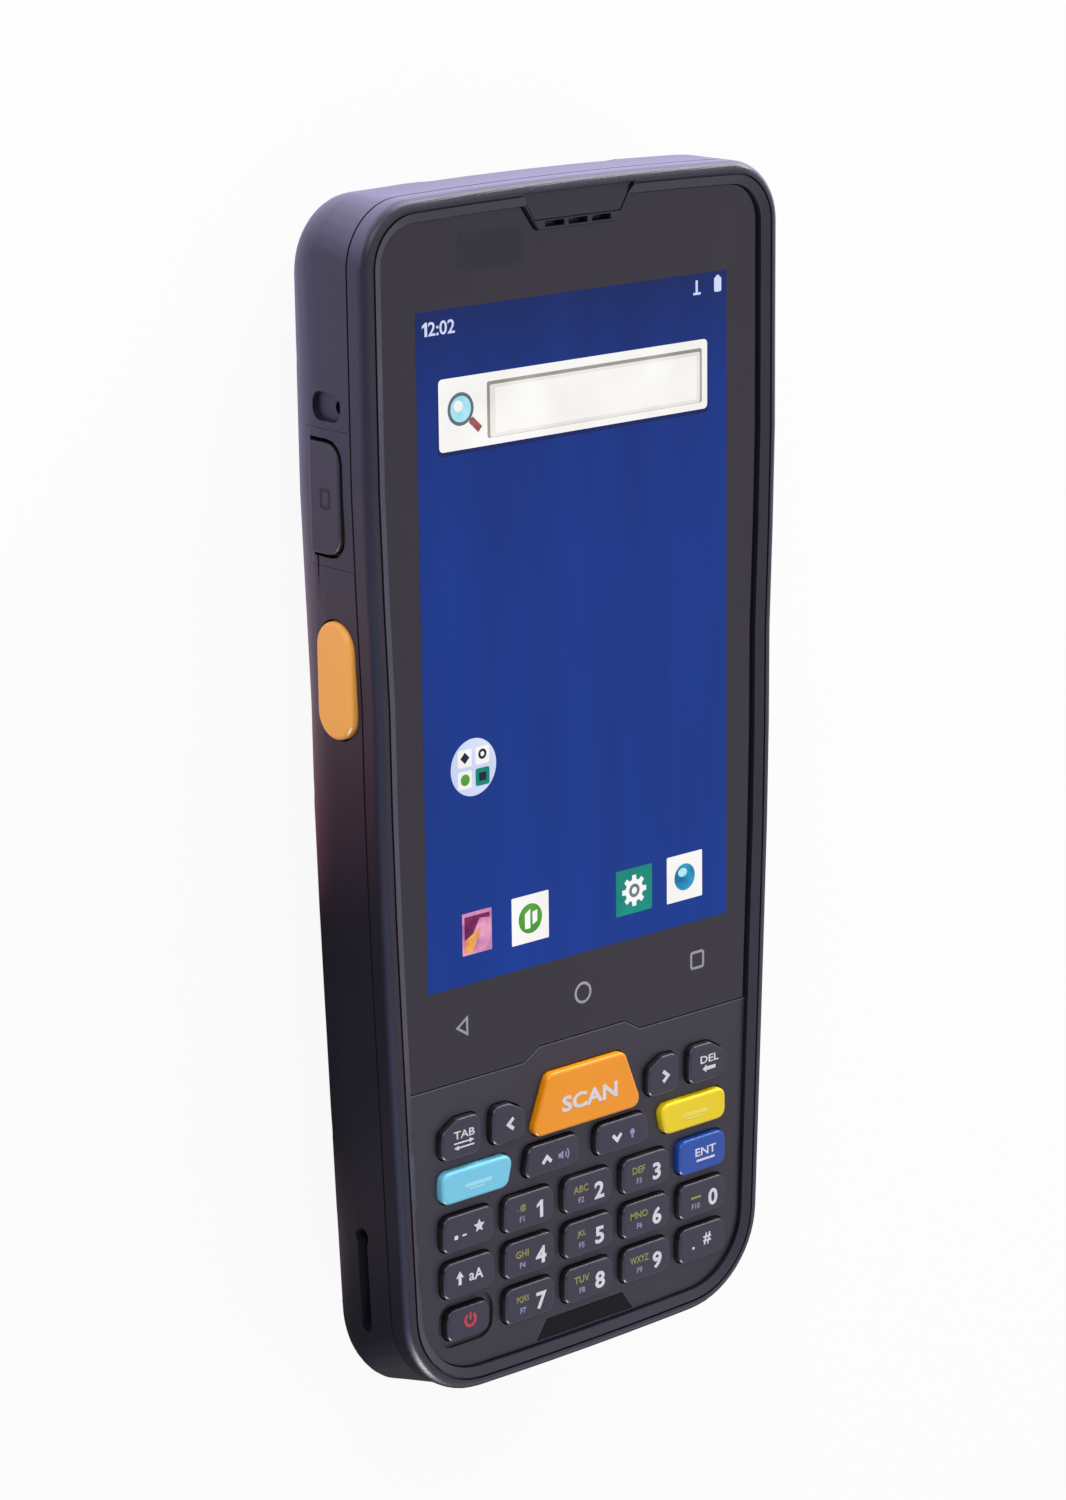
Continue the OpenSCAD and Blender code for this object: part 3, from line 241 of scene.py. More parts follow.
def corner_normals(form):
    """The normal that each face has at each of its corners, shared across edges that aren't crisp."""
    normals = {}
    for vertex in form.verts:
        waiting = set(vertex.link_faces)
        while waiting:
            fan, unseen = [], [waiting.pop()]
            while unseen:
                face = unseen.pop()
                fan.append(face)
                for edge in face.edges:
                    if vertex in edge.verts and edge.calc_face_angle(math.pi) < CRISP:
                        beyond = waiting.intersection(edge.link_faces)
                        waiting -= beyond
                        unseen.extend(beyond)
            total = Vector()
            for face in fan:
                corner = next(loop for loop in face.loops if loop.vert == vertex)
                total += face.normal * corner.calc_angle()
            for face in fan:
                normals[vertex, face] = total.normalized()
    return normals


def rounder(form):
    """Halves the facets of arcs: a new point on each of their edges moves out to where the arc would be.

    An edge lies on an arc if the surface turns by about the same amount at both of its ends."""
    normals = corner_normals(form)
    moves = []
    for edge in form.edges:
        length = edge.calc_length()
        if len(edge.link_faces) != 2 or not SHORTEST < length < LONGEST:
            continue
        a, b = edge.verts
        run, rises, ways = b.co - a.co, [], []
        for face in edge.link_faces:
            fall_a, fall_b = -run.dot(normals[a, face]), run.dot(normals[b, face])
            on_arc = fall_a * fall_b > 0 and 1 / TURN_RATIO < fall_a / fall_b < TURN_RATIO
            on_arc = on_arc and abs(fall_a) < length * STEEPEST
            rises.append((fall_a + fall_b) / 8 if on_arc else 0.0)
            ways.append((normals[a, face] + normals[b, face]).normalized())
        (way_a, way_b), (rise_a, rise_b) = ways, rises
        lean = way_a.dot(way_b)
        if lean > ONE_SIDE:
            reach = (way_a * rise_a + way_b * rise_b) / 2
        elif lean > OPPOSITE:
            reach = (way_a * (rise_a - lean * rise_b) + way_b * (rise_b - lean * rise_a)) / (1 - lean * lean)
        else:
            reach = Vector()
        if LEAST_MOVE < reach.length < MOST_MOVE:
            moves.append((edge, (a.co + b.co) / 2 + reach))
    for edge, place in moves:
        bmesh.utils.edge_split(edge, edge.verts[0], 0.5)[1].co = place
    bmesh.ops.triangulate(form, faces=[f for f in form.faces if len(f.verts) > 3])
    form.normal_update()
    return form


def finished(form, node, name, body, materials):
    """The worked form as a smooth-shaded piece that stands for the node, with its crisp edges kept."""
    for edge in form.edges:
        first, second = (list(edge.link_faces) * 2)[:2]
        edge.smooth = edge.calc_face_angle(0) < CRISP and first.material_index == second.material_index
    mesh = bpy.data.meshes.new(name)
    form.to_mesh(mesh)
    form.free()
    piece = link(name, mesh, body, materials)
    even = piece.modifiers.new("even_normals", "WEIGHTED_NORMAL")
    even.keep_sharp = True
    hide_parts(node)


def second_finish(form, test):
    """Gives the faces that pass a test the piece's second material."""
    for face in form.faces:
        face.material_index = int(test(face))


housing_plastic = moulded("grained_polycarbonate", "#1c1928", "#171422", 0.42)
finished(rounder(merged("rear_case")), "rear_case", "rear_shell", "terminal", [housing_plastic])

# The port's insert is the same plastic; all of it but its outer face is given a near-black painted shade,
# where the groove round the flap lies in shadow.
BEZEL_FACING = -0.3
groove_shade = moulded("groove_painted_shade", "#0b0a0e", "#09080b", 0.6, grain=0.4)
form = merged("port_frame")
second_finish(form, lambda face: face.normal.x > BEZEL_FACING)
finished(form, "port_frame", "port_bezel", "terminal", [housing_plastic, groove_shade])

# ---- Boards and inner parts ----
# What the rear case holds: glass-fibre boards under green solder mask, tinned shield cans, gold-plated
# contacts, and black mouldings for the scan engine, camera and switches. A gasket lies on the part line.


def plated(name, colour, shade, roughness, stretch=(1.0, 1.0, 1.0), grain=0.35, depth=0.004):
    """Rolled or plated metal: two close tones and a gloss that follow its grain."""
    material, tree = blank_material(name)
    place = add(tree, "ShaderNodeTexCoord").outputs["Object"]
    rolled = add(tree, "ShaderNodeMapping", {"Scale": stretch}, {"Vector": place})
    lines = add(tree, "ShaderNodeTexNoise", {"Scale": 1 / (grain * MM), "Detail": 3.0}, {"Vector": rolled})
    tone = add(tree, "ShaderNodeValToRGB", links={"Fac": lines}, stops=[(0.3, shade), (0.7, colour)])
    gloss = add(tree, "ShaderNodeMapRange", {"To Min": roughness - 0.06, "To Max": roughness + 0.08},
                {"Value": lines})
    bump = add(tree, "ShaderNodeBump", {"Strength": 0.5, "Distance": depth * MM}, {"Height": lines})
    surface = add(tree, "ShaderNodeBsdfPrincipled", {"Metallic": 1.0},
                  {"Base Color": tone, "Roughness": gloss, "Normal": bump})
    add(tree, "ShaderNodeOutputMaterial", links={"Surface": surface})
    return material


def coat(node, material):
    """Gives its finish to a CAD node that stays as it is."""
    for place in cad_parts[node].material_slots:
        place.material = material


# Copper tracks show through the mask as paler lines, and tinned vias as dots.
TRACE_PITCH, VIA_PITCH, VIA_SHARE = 0.6, 1.8, 0.17
circuit, tree = blank_material("green_solder_mask")
place = add(tree, "ShaderNodeTexCoord").outputs["Object"]
tracks = add(tree, "ShaderNodeTexWave",
             {"Scale": 1 / (TRACE_PITCH * MM) / 6.28, "Distortion": 6.0, "Detail": 0.0}, {"Vector": place},
             bands_direction="DIAGONAL")
mask = add(tree, "ShaderNodeValToRGB", links={"Fac": tracks.outputs["Fac"]},
           stops=[(0.55, "#14573a"), (0.62, "#2a7a52")])
vias = add(tree, "ShaderNodeTexVoronoi", {"Scale": 1 / (VIA_PITCH * MM), "Randomness": 0.5}, {"Vector": place})
tin = add(tree, "ShaderNodeMath", {1: VIA_SHARE}, {0: vias.outputs["Distance"]}, operation="LESS_THAN")
tone = add(tree, "ShaderNodeMixRGB", {"Color2": linear("#c9b27a")}, {"Fac": tin, "Color1": mask})
surface = add(tree, "ShaderNodeBsdfPrincipled", {"IOR": 1.5, "Roughness": 0.3},
              {"Base Color": tone, "Metallic": tin})
add(tree, "ShaderNodeOutputMaterial", links={"Surface": surface})

tinned_steel = plated("tinned_steel", "#c9cbcf", "#a9abb0", 0.3, stretch=(1.0, 0.08, 1.0))
die_cast = plated("die_cast_magnesium", "#b4b6ba", "#8e9095", 0.5, grain=0.7, depth=0.015)
gold_plate = plated("gold_plate", "#d9b25a", "#c29a44", 0.25, grain=0.5)
black_moulding = moulded("black_glass_filled_nylon", "#1b1b1e", "#151517", 0.5, grain=0.5, patch=6)
gasket_rubber = moulded("gasket_silicone", "#121114", "#0d0c0f", 0.6, grain=0.4, patch=6)
grey_silicone = moulded("keypad_silicone", "#5a5a60", "#505056", 0.55, grain=0.4, patch=8)
polariser = moulded("display_polariser", "#0c0d12", "#08090d", 0.12, grain=0.8, depth=0.001)
INNER_FINISH = {
    circuit: ["main_board", "keypad_board"],
    tinned_steel: ["shield_cans", "key_domes", "usb_connector", "card_socket", "vibration_motor", "earpiece"],
    die_cast: ["mid_frame"],
    gold_plate: ["battery_contacts", "antenna", "microphone"],
    black_moulding: ["scan_engine", "camera_module", "front_sensor", "loudspeaker", "side_switches"],
    gasket_rubber: ["case_gasket"],
    grey_silicone: ["keypad_mat"],
    polariser: ["lcd_module"],
}
for material, nodes in INNER_FINISH.items():
    for node in nodes:
        coat(node, material)

# ---- Sound meshes ----
# Woven steel cloth behind the loudspeaker's slots and the earpiece's, heat-staked to each of them. Its
# wires are drawn three times as coarse as the real cloth, so that the weave shows.


def node_tree(name, sizes):
    """A Geometry Nodes tree with a mesh going in, and the named sizes as its other inputs."""
    tree = bpy.data.node_groups.new(name, "GeometryNodeTree")
    tree.interface.new_socket(name="Geometry", in_out="INPUT", socket_type="NodeSocketGeometry")
    for label in sizes:
        tree.interface.new_socket(name=label, in_out="INPUT", socket_type="NodeSocketFloat")
    tree.interface.new_socket(name="Geometry", in_out="OUTPUT", socket_type="NodeSocketGeometry")
    return tree, tree.nodes.new("NodeGroupInput").outputs


def close_tree(tree, last, finish):
    """Ends a tree in Realize Instances and Set Material."""
    whole = add(tree, "GeometryNodeRealizeInstances", links={"Geometry": last})
    coated = add(tree, "GeometryNodeSetMaterial", {"Material": finish}, {"Geometry": whole})
    add(tree, "NodeGroupOutput", links={0: coated})


def grown(name, tree, points, sizes, body):
    """Runs a tree on some points, with its sizes, and keeps the result as a plain mesh on a body."""
    seed_mesh = bpy.data.meshes.new(name)
    seed_mesh.from_pydata([tuple(c * MM for c in point) for point in points], [], [])
    carrier = bpy.data.objects.new(name + "_points", seed_mesh)
    bpy.context.scene.collection.objects.link(carrier)
    modifier = carrier.modifiers.new("grown", "NODES")
    modifier.node_group = tree
    for item in tree.interface.items_tree:
        if item.name in sizes:
            modifier[item.identifier] = sizes[item.name] * MM
    mesh = bpy.data.meshes.new_from_object(carrier.evaluated_get(bpy.context.evaluated_depsgraph_get()))
    bpy.data.objects.remove(carrier)
    mesh.name = name
    return link(name, mesh, body, [])


cloth_steel = plated("woven_steel_cloth", "#8d8f94", "#6c6e73", 0.4, grain=0.3)
tree, given = node_tree("woven_cloth", ["Width", "Length", "Pitch", "Wire Radius"])
layers = []
for run, span, turn in (("Width", "Length", 0.0), ("Length", "Width", math.pi / 2)):
    ends = []
    for size, axis in ((run, "X"), (span, "Y")):
        for share in (-0.5, 0.5):
            part = add(tree, "ShaderNodeMath", {1: share}, {0: given[size]}, operation="MULTIPLY")
            ends.append(add(tree, "ShaderNodeCombineXYZ", links={axis: part}))
    line = add(tree, "GeometryNodeCurvePrimitiveLine", links={"Start": ends[0], "End": ends[1]})
    section = add(tree, "GeometryNodeCurvePrimitiveCircle", {"Resolution": 6}, {"Radius": given["Wire Radius"]})
    wire = add(tree, "GeometryNodeCurveToMesh", {"Fill Caps": True}, {"Curve": line, "Profile Curve": section})
    count = add(tree, "ShaderNodeMath", links={0: given[span], 1: given["Pitch"]}, operation="DIVIDE")
    row = add(tree, "GeometryNodeMeshLine", links={"Count": count, "Start Location": ends[2], "Offset": ends[3]},
              mode="END_POINTS", count_mode="TOTAL")
    wires = add(tree, "GeometryNodeInstanceOnPoints", links={"Points": row, "Instance": wire})
    layers.append(add(tree, "GeometryNodeTransform", {"Rotation": (0, 0, turn)}, {"Geometry": wires}))
woven = add(tree, "GeometryNodeJoinGeometry", links={0: layers})
placed = add(tree, "GeometryNodeInstanceOnPoints", links={"Points": given["Geometry"], "Instance": woven})
close_tree(tree, placed, cloth_steel)

# The cloths as [width, length]. One lies under its part, facing the slots in the back, and one on top.
CLOTH_PITCH, CLOTH_WIRE, CLOTH_GAP = 0.42, 0.09, 0.1
CLOTHS = {"loudspeaker": [13.4, 9.8], "earpiece": [11.2, 3.4]}
for node, (width, length) in CLOTHS.items():
    low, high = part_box(node)
    level = low.z / MM - CLOTH_GAP if node == "loudspeaker" else high.z / MM + CLOTH_GAP
    sizes = {"Width": width, "Length": length, "Pitch": CLOTH_PITCH, "Wire Radius": CLOTH_WIRE}
    grown(node + "_cloth", tree, [((low.x + high.x) / 2 / MM, (low.y + high.y) / 2 / MM, level)], sizes,
          "terminal")

# ---- Scan and camera windows ----
# Tinted polycarbonate, hard-coated and polished, bonded into the head and the back. The camera's has a
# silk-screened ring round the lens and a clear spot over the flash.

window_tint = moulded("hard_coated_window", "#12070b", "#0d0508", 0.08, grain=0.8, depth=0.001)
finished(merged("scan_window"), "scan_window", "scan_glazing", "terminal", [window_tint])
finished(merged("camera_window"), "camera_window", "camera_glazing", "terminal", [window_tint])

# ---- Front case ----
# The frame round glass and keypad: the same polycarbonate, with a smoother painted band that falls from
# a fine groove to the glass. Six screws from the back pull it down on the rear case.

BAND_DEPTH, BAND_FLATTEST, BAND_STEEPEST = 0.6, 0.985, 0.8
band_paint = moulded("satin_band_paint", "#2a2935", "#26242f", 0.26, grain=0.6, depth=0.006)
band_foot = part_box("front_case")[1].z - BAND_DEPTH * MM
form = rounder(merged("front_case"))
second_finish(form, lambda face: (face.calc_center_median().z > band_foot
                                  and BAND_STEEPEST < face.normal.z < BAND_FLATTEST))
finished(form, "front_case", "front_shell", "terminal", [housing_plastic, band_paint])

# ---- Touch glass ----
# Hardened glass over a dark printed border, bonded into the front case. It is smooth, so it mirrors the
# surround, with a trace of finger marks in the gloss.

MARK_SIZE = 14
glass, tree = blank_material("printed_border_glass")
place = add(tree, "ShaderNodeTexCoord").outputs["Object"]
marks = add(tree, "ShaderNodeTexNoise", {"Scale": 1 / (MARK_SIZE * MM), "Detail": 6.0, "Distortion": 1.2},
            {"Vector": place})
gloss = add(tree, "ShaderNodeMapRange", {"From Min": 0.4, "From Max": 0.75, "To Min": 0.04, "To Max": 0.1},
            {"Value": marks})
tone = add(tree, "ShaderNodeValToRGB", links={"Fac": marks}, stops=[(0.3, "#141018"), (0.7, "#19141c")])
surface = add(tree, "ShaderNodeBsdfPrincipled", {"IOR": 1.52}, {"Base Color": tone, "Roughness": gloss})
add(tree, "ShaderNodeOutputMaterial", links={"Surface": surface})
finished(merged("touch_glass"), "touch_glass", "cover_glass", "terminal", [glass])

# ---- Display ----
# The lit picture behind the glass: a deep blue wallpaper with a clock, a search bar and a few generic
# icons. Its layers lie on the glass in steps of a few hundredths of a millimetre.


def slab(form, levels, points, ink=0):
    """A flat shape with upright sides, drawn counter-clockwise, between two levels in one ink."""
    foot, head = ([form.verts.new((x * MM, y * MM, level * MM)) for x, y in points] for level in levels)
    faces = [form.faces.new(head), form.faces.new(foot[::-1])]
    faces += [form.faces.new((foot[k - 1], foot[k], head[k], head[k - 1])) for k in range(len(points))]
    for face in faces:
        face.material_index = ink


def disc_points(x, y, r, start=0.0, end=360.0, count=24, ry=None):
    """Points along an arc round a centre; a full turn leaves out the last point."""
    steps = count if end - start >= 360 else count - 1
    angles = [math.radians(start + (end - start) * k / steps) for k in range(count)]
    return [(x + r * math.cos(a), y + (ry or r) * math.sin(a)) for a in angles]


def card_points(x0, y0, x1, y1, r):
    """Points of a rectangle with round corners."""
    corners = [(x1 - r, y0 + r, -90), (x1 - r, y1 - r, 0), (x0 + r, y1 - r, 90), (x0 + r, y0 + r, 180)]
    return [p for x, y, a in corners for p in disc_points(x, y, r, a, a + 90, 5)]


def stroke(form, levels, path, width, ink=0, closed=False):
    """A line of even width along points, mitred at its bends; a closed one joins its end to its start."""
    low, high = levels
    points = [Vector(point) for point in path]
    sections = []
    for k, here in enumerate(points):
        onward = points[(k + 1) % len(points)] - here
        inward = here - points[k - 1]
        if not closed:
            onward, inward = (inward if k == len(points) - 1 else onward), (onward if k == 0 else inward)
        side = Vector((-inward.y, inward.x)).normalized()
        across = (side + Vector((-onward.y, onward.x)).normalized()).normalized()
        reach = across * width * MM / 2 / max(0.4, across.dot(side))
        left, right = here * MM + reach, here * MM - reach
        corners = ((right, low), (left, low), (left, high), (right, high))
        sections.append([form.verts.new((at.x, at.y, level * MM)) for at, level in corners])
    made = []
    for k in range(0 if closed else 1, len(sections)):
        before, after = sections[k - 1], sections[k]
        made += [form.faces.new((before[c - 1], before[c], after[c], after[c - 1])) for c in range(4)]
    if not closed:
        made += [form.faces.new(sections[0]), form.faces.new(sections[-1][::-1])]
    for face in made:
        face.material_index = ink


def hoop(form, levels, x, y, r, width, ink=0):
    """A closed ring."""
    stroke(form, levels, disc_points(x, y, r, count=28), width, ink, closed=True)


def letters(form, levels, text, x, y, height, ink=0, weight=0.0, squeeze=1.0):
    """Upright text set round a middle point, as tall as asked."""
    curve = bpy.data.curves.new("type", "FONT")
    curve.body, curve.offset, curve.resolution_u, curve.extrude = text, weight, 3, 0.5
    carrier = bpy.data.objects.new("type", curve)
    mesh = bpy.data.meshes.new_from_object(carrier)
    xs, ys = [v.co.x for v in mesh.vertices], [v.co.y for v in mesh.vertices]
    scale = height / (max(ys) - min(ys)) * MM
    middle = Vector(((max(xs) + min(xs)) / 2, (max(ys) + min(ys)) / 2, 0))
    for vertex in mesh.vertices:
        at = vertex.co - middle
        vertex.co = (at.x * scale * squeeze + x * MM, at.y * scale + y * MM, levels[at.z > 0] * MM)
    for polygon in mesh.polygons:
        polygon.material_index = ink
    form.from_mesh(mesh)
    bpy.data.objects.remove(carrier)
    bpy.data.curves.remove(curve)
    bpy.data.meshes.remove(mesh)


def digit_one(form, levels, x, y, height, ink=0):
    """The digit one, with its flag, as one outline round a middle point."""
    outline = [(0.04, -0.5), (0.27, -0.5), (0.27, 0.5), (0.1, 0.5), (-0.19, 0.27), (-0.19, 0.1), (0.04, 0.23)]
    slab(form, levels, [(x + dx * height, y + dy * height) for dx, dy in outline], ink)


def laid(marks, name, body, materials, onto):
    """Draws marks, each as [function, levels, its values], and carries them to where they belong."""
    form = bmesh.new()
    for draw, levels, *values in marks:
        draw(form, levels, *values)
    mesh = bpy.data.meshes.new(name)
    bmesh.ops.recalc_face_normals(form, faces=form.faces)
    form.to_mesh(mesh)
    form.free()
    mesh.transform(onto)
    link(name, mesh, body, materials)


def lit(name, colour, shade, patch=9.0):
    """Light from the display: two close tones that drift across it, under the glass's faint gloss."""
    material, tree = blank_material(name)
    place = add(tree, "ShaderNodeTexCoord").outputs["Object"]
    drift = add(tree, "ShaderNodeTexNoise", {"Scale": 1 / (patch * MM), "Detail": 2.0}, {"Vector": place})
    tone = add(tree, "ShaderNodeValToRGB", links={"Fac": drift}, stops=[(0.35, shade), (0.65, colour)])
    surface = add(tree, "ShaderNodeBsdfPrincipled",
                  {"Base Color": linear("#000000"), "Roughness": 0.08, "IOR": 1.22, "Emission Strength": 1.0},
                  {"Emission Color": tone})
    add(tree, "ShaderNodeOutputMaterial", links={"Surface": surface})
    return material


SCREEN_HALF_X, SCREEN_HALF_Y = 52.2 / 2, 87.0 / 2
LAYER, SUNK = 0.025, 0.01
STREAK_SIZE = 7
screen_low, screen_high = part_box("lcd_module")
screen_y, glass_top = (screen_low.y + screen_high.y) / 2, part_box("touch_glass")[1].z
# what is lit or printed on the glass is drawn round the screen's middle
onto_glass = Matrix.Translation((0, screen_y, glass_top))


def layer(number):
    """The levels between which one layer on the glass lies."""
    return LAYER * number, LAYER * number + LAYER


wallpaper, tree = blank_material("lit_wallpaper")
place = add(tree, "ShaderNodeTexCoord").outputs["Object"]
split = add(tree, "ShaderNodeSeparateXYZ", links={0: place})
height = add(tree, "ShaderNodeMapRange",
             {"From Min": screen_y - SCREEN_HALF_Y * MM, "From Max": screen_y + SCREEN_HALF_Y * MM},
             {"Value": split.outputs["Y"]})
tone = add(tree, "ShaderNodeValToRGB", links={"Fac": height},
           stops=[(0.0, "#11378c"), (0.25, "#113586"), (0.6, "#123486"), (0.86, "#12307c"), (1.0, "#142862")])
streaks = add(tree, "ShaderNodeMapping", {"Scale": (1.0, 0.12, 1.0)}, {"Vector": place})
drift = add(tree, "ShaderNodeTexNoise", {"Scale": 1 / (STREAK_SIZE * MM), "Detail": 3.0}, {"Vector": streaks})
lift = add(tree, "ShaderNodeMapRange", {"From Min": 0.3, "From Max": 0.7, "To Min": 0.9, "To Max": 1.12},
           {"Value": drift})
surface = add(tree, "ShaderNodeBsdfPrincipled",
              {"Base Color": linear("#000000"), "Roughness": 0.08, "IOR": 1.22},
              {"Emission Color": tone, "Emission Strength": lift})
add(tree, "ShaderNodeOutputMaterial", links={"Surface": surface})
laid([(slab, (-SUNK, LAYER), card_points(-SCREEN_HALF_X, -SCREEN_HALF_Y, SCREEN_HALF_X, SCREEN_HALF_Y, 0.2))],
     "display_wallpaper", "terminal", [wallpaper], onto_glass)

# Tones as [colour, shade, patch size]
LIT = {
    "white": ["#fbfaf8", "#f3f1ee"], "field": ["#f2efe9", "#e2dfd8"], "field_shade": ["#a8a49c", "#8f8b84"],
    "pale_blue": ["#dfe6fa", "#c9d3f2"], "lens": ["#b5e9f4", "#93d8ea", 2], "lens_rim": ["#6f7f88", "#5c6a73"],
    "handle": ["#a4605c", "#8a4a48", 1], "green": ["#5aa83a", "#3f8f2c", 3], "teal": ["#159080", "#0e7f70"],
    "sea_blue": ["#2a9cc8", "#1a6f9c", 2.5], "pink": ["#e8a0c0", "#b06aa8", 2],
    "plum": ["#8e2a5e", "#5c1c50", 2], "amber": ["#f2b45a", "#e08a4a", 1.5], "ink": ["#262a40", "#1c2036"],
    "soft_shadow": ["#172864", "#142258"],
}
(WHITE, FIELD, FIELD_SHADE, PALE, LENS, LENS_RIM, HANDLE, GREEN, TEAL, SEA, PINK, PLUM, AMBER, INK,
 SHADOW) = range(15)
gear = []
for tooth in range(8):
    for turn, reach in ((-14, 1.55), (-9, 2.15), (9, 2.15), (14, 1.55)):
        a = math.radians(tooth * 45 + turn)
        gear.append((9.3 + reach * math.cos(a), -36.9 + reach * math.sin(a)))
PICTURE = [
    # status line
    (digit_one, layer(1), -24.75, 41.3, 1.75, PALE),
    (letters, layer(1), "2:02", -22.0, 41.3, 1.75, PALE, 0.012, 1.05),
    (letters, layer(1), "1", 20.8, 41.75, 1.75, PALE, 0.03),
    (slab, layer(1), card_points(20.2, 40.75, 21.5, 41.05, 0.05), PALE),
    (slab, layer(1), card_points(23.9, 40.8, 25.15, 42.7, 0.25), PALE),
    (slab, layer(1), card_points(24.25, 42.6, 24.8, 42.95, 0.08), PALE),
    # search bar, its sunk field and its glass
    (slab, layer(1), card_points(-22.9, 25.25, 22.8, 34.7, 0.7), SHADOW),
    (slab, layer(2), card_points(-22.7, 25.8, 22.6, 34.9, 0.6), WHITE),
    (slab, layer(3), card_points(-14.9, 26.7, 21.6, 33.8, 0.3), FIELD_SHADE),
    (slab, layer(4), card_points(-14.45, 26.75, 21.3, 33.35, 0.3), FIELD),
    (slab, layer(5), card_points(-13.6, 27.2, 20.7, 32.9, 0.3), WHITE),
    (slab, layer(3), disc_points(-19.2, 30.9, 2.1), LENS_RIM),
    (slab, layer(4), disc_points(-19.2, 30.9, 1.65), LENS),
    (slab, layer(5), disc_points(-19.6, 31.3, 0.7), WHITE),
    (stroke, layer(4), [(-17.6, 29.4), (-16.1, 28.0)], 0.95, HANDLE),
    (stroke, layer(3), [(-17.9, 29.7), (-17.4, 29.2)], 0.5, LENS_RIM),
    # folder with four small icons
    (slab, layer(1), disc_points(-18.0, -15.0, 3.75, count=40), PALE),
    (slab, layer(2), card_points(-20.6, -14.8, -18.3, -12.5, 0.3), WHITE),
    (slab, layer(2), card_points(-17.7, -14.8, -15.4, -12.5, 0.3), WHITE),
    (slab, layer(2), card_points(-20.6, -17.6, -18.3, -15.3, 0.3), WHITE),
    (slab, layer(2), card_points(-17.7, -17.6, -15.4, -15.3, 0.3), TEAL),
    (slab, layer(3), disc_points(-19.45, -13.6, 0.75, count=4), INK),
    (hoop, layer(3), -16.55, -13.5, 0.5, 0.35, INK),
    (slab, layer(3), disc_points(-19.45, -16.45, 0.75), GREEN),
    (slab, layer(3), card_points(-17.15, -17.0, -15.95, -15.9, 0.1), INK),
    # dock tiles: a picture, a messenger, settings and a browser
    (slab, layer(1), card_points(-20.3, -39.6, -15.4, -34.0, 0.1), PINK),
    (slab, layer(2), card_points(-19.95, -39.25, -15.75, -34.5, 0.05), PLUM),
    (slab, layer(3), [(-19.95, -39.25), (-15.75, -39.25), (-15.75, -35.2), (-17.4, -35.0)], PINK),
    (slab, layer(4), [(-19.95, -39.25), (-18.6, -39.25), (-17.2, -36.2), (-19.95, -37.6)], AMBER),
    (slab, layer(1), card_points(-12.0, -40.1, -5.7, -33.7, 0.15), WHITE),
    (slab, layer(2), disc_points(-8.85, -36.9, 2.0, count=32), GREEN),
    (slab, layer(3), [(-9.8, -38.2), (-8.9, -38.2), (-8.9, -35.6), (-9.8, -36.2)], WHITE),
    (slab, layer(3), [(-8.5, -37.8), (-7.7, -37.4), (-7.7, -35.9), (-8.5, -36.1)], WHITE),
    (slab, layer(1), card_points(6.1, -40.0, 12.5, -33.8, 0.15), TEAL),
    (slab, layer(2), gear, WHITE),
    (hoop, layer(3), 9.3, -36.9, 0.7, 0.45, LENS_RIM),
    (slab, layer(1), card_points(15.2, -40.1, 21.6, -33.7, 0.15), WHITE),
    (slab, layer(2), disc_points(18.4, -36.9, 1.85, count=32), SEA),
    (slab, layer(3), disc_points(18.0, -36.2, 0.8, ry=0.6), LENS),
]
laid(PICTURE, "display_picture", "terminal",
     [lit("lit_" + name, *look) for name, look in LIT.items()], onto_glass)

# ---- Border prints ----
# Fine grey touch marks below the display, and the dark sensor window in the glass's border, printed on.
# The window's ink thins out to its edge in a few steps, and mirrors less towards the middle.

NAV_Y, NAV_LINE = -49.0, 0.36
SENSOR_STEPS, SENSOR_STEP, SENSOR_CORNER = 3, 0.4, 1.2
key_print = moulded("pad_printed_grey", "#a9a6b2", "#9d9aa6", 0.45, grain=0.2, depth=0.002, patch=3)
sensor_inks = [moulded("sensor_window_ink_%d" % step, "#0f1217", "#0b0e12", 0.2, grain=0.4, depth=0.001,
                       patch=5, ior=1.505 - 0.015 * step) for step in range(SENSOR_STEPS)]
marks = [
    (stroke, layer(0.2), [(-21.4, NAV_Y), (-19.75, NAV_Y - 1.1), (-19.75, NAV_Y + 1.1)], 0.32, 0, True),
    (hoop, layer(0.2), 0.15, NAV_Y, 1.3, NAV_LINE),
    (stroke, layer(0.2), card_points(19.6, NAV_Y - 1.1, 21.8, NAV_Y + 1.1, 0.3), NAV_LINE, 0, True),
]
for step in range(SENSOR_STEPS):
    inset = SENSOR_STEP * step
    window = card_points(-19.2 + inset, 47.7 + inset, -8.4 - inset, 52.6 - inset, SENSOR_CORNER - inset)
    marks.append((slab, layer(0.1 * (step + 1)), window, 1 + step))
laid(marks, "border_prints", "terminal", [key_print] + sensor_inks, onto_glass)

# ---- Camera prints ----
# On the back, the lens sits in a grey printed ring, and the flash behind a pale diffusing spot.

LENS_X, RING_R, RING_LINE, LENS_R, FLASH_R, PRINT_DEPTH = 5.0, 2.6, 0.35, 1.1, 1.5, 0.02


def turned_over(level):
    """Turns over marks that are drawn from the front, to face the floor from a level."""
    return Matrix(((-1, 0, 0, 0), (0, 1, 0, 0), (0, 0, -1, level), (0, 0, 0, 1)))


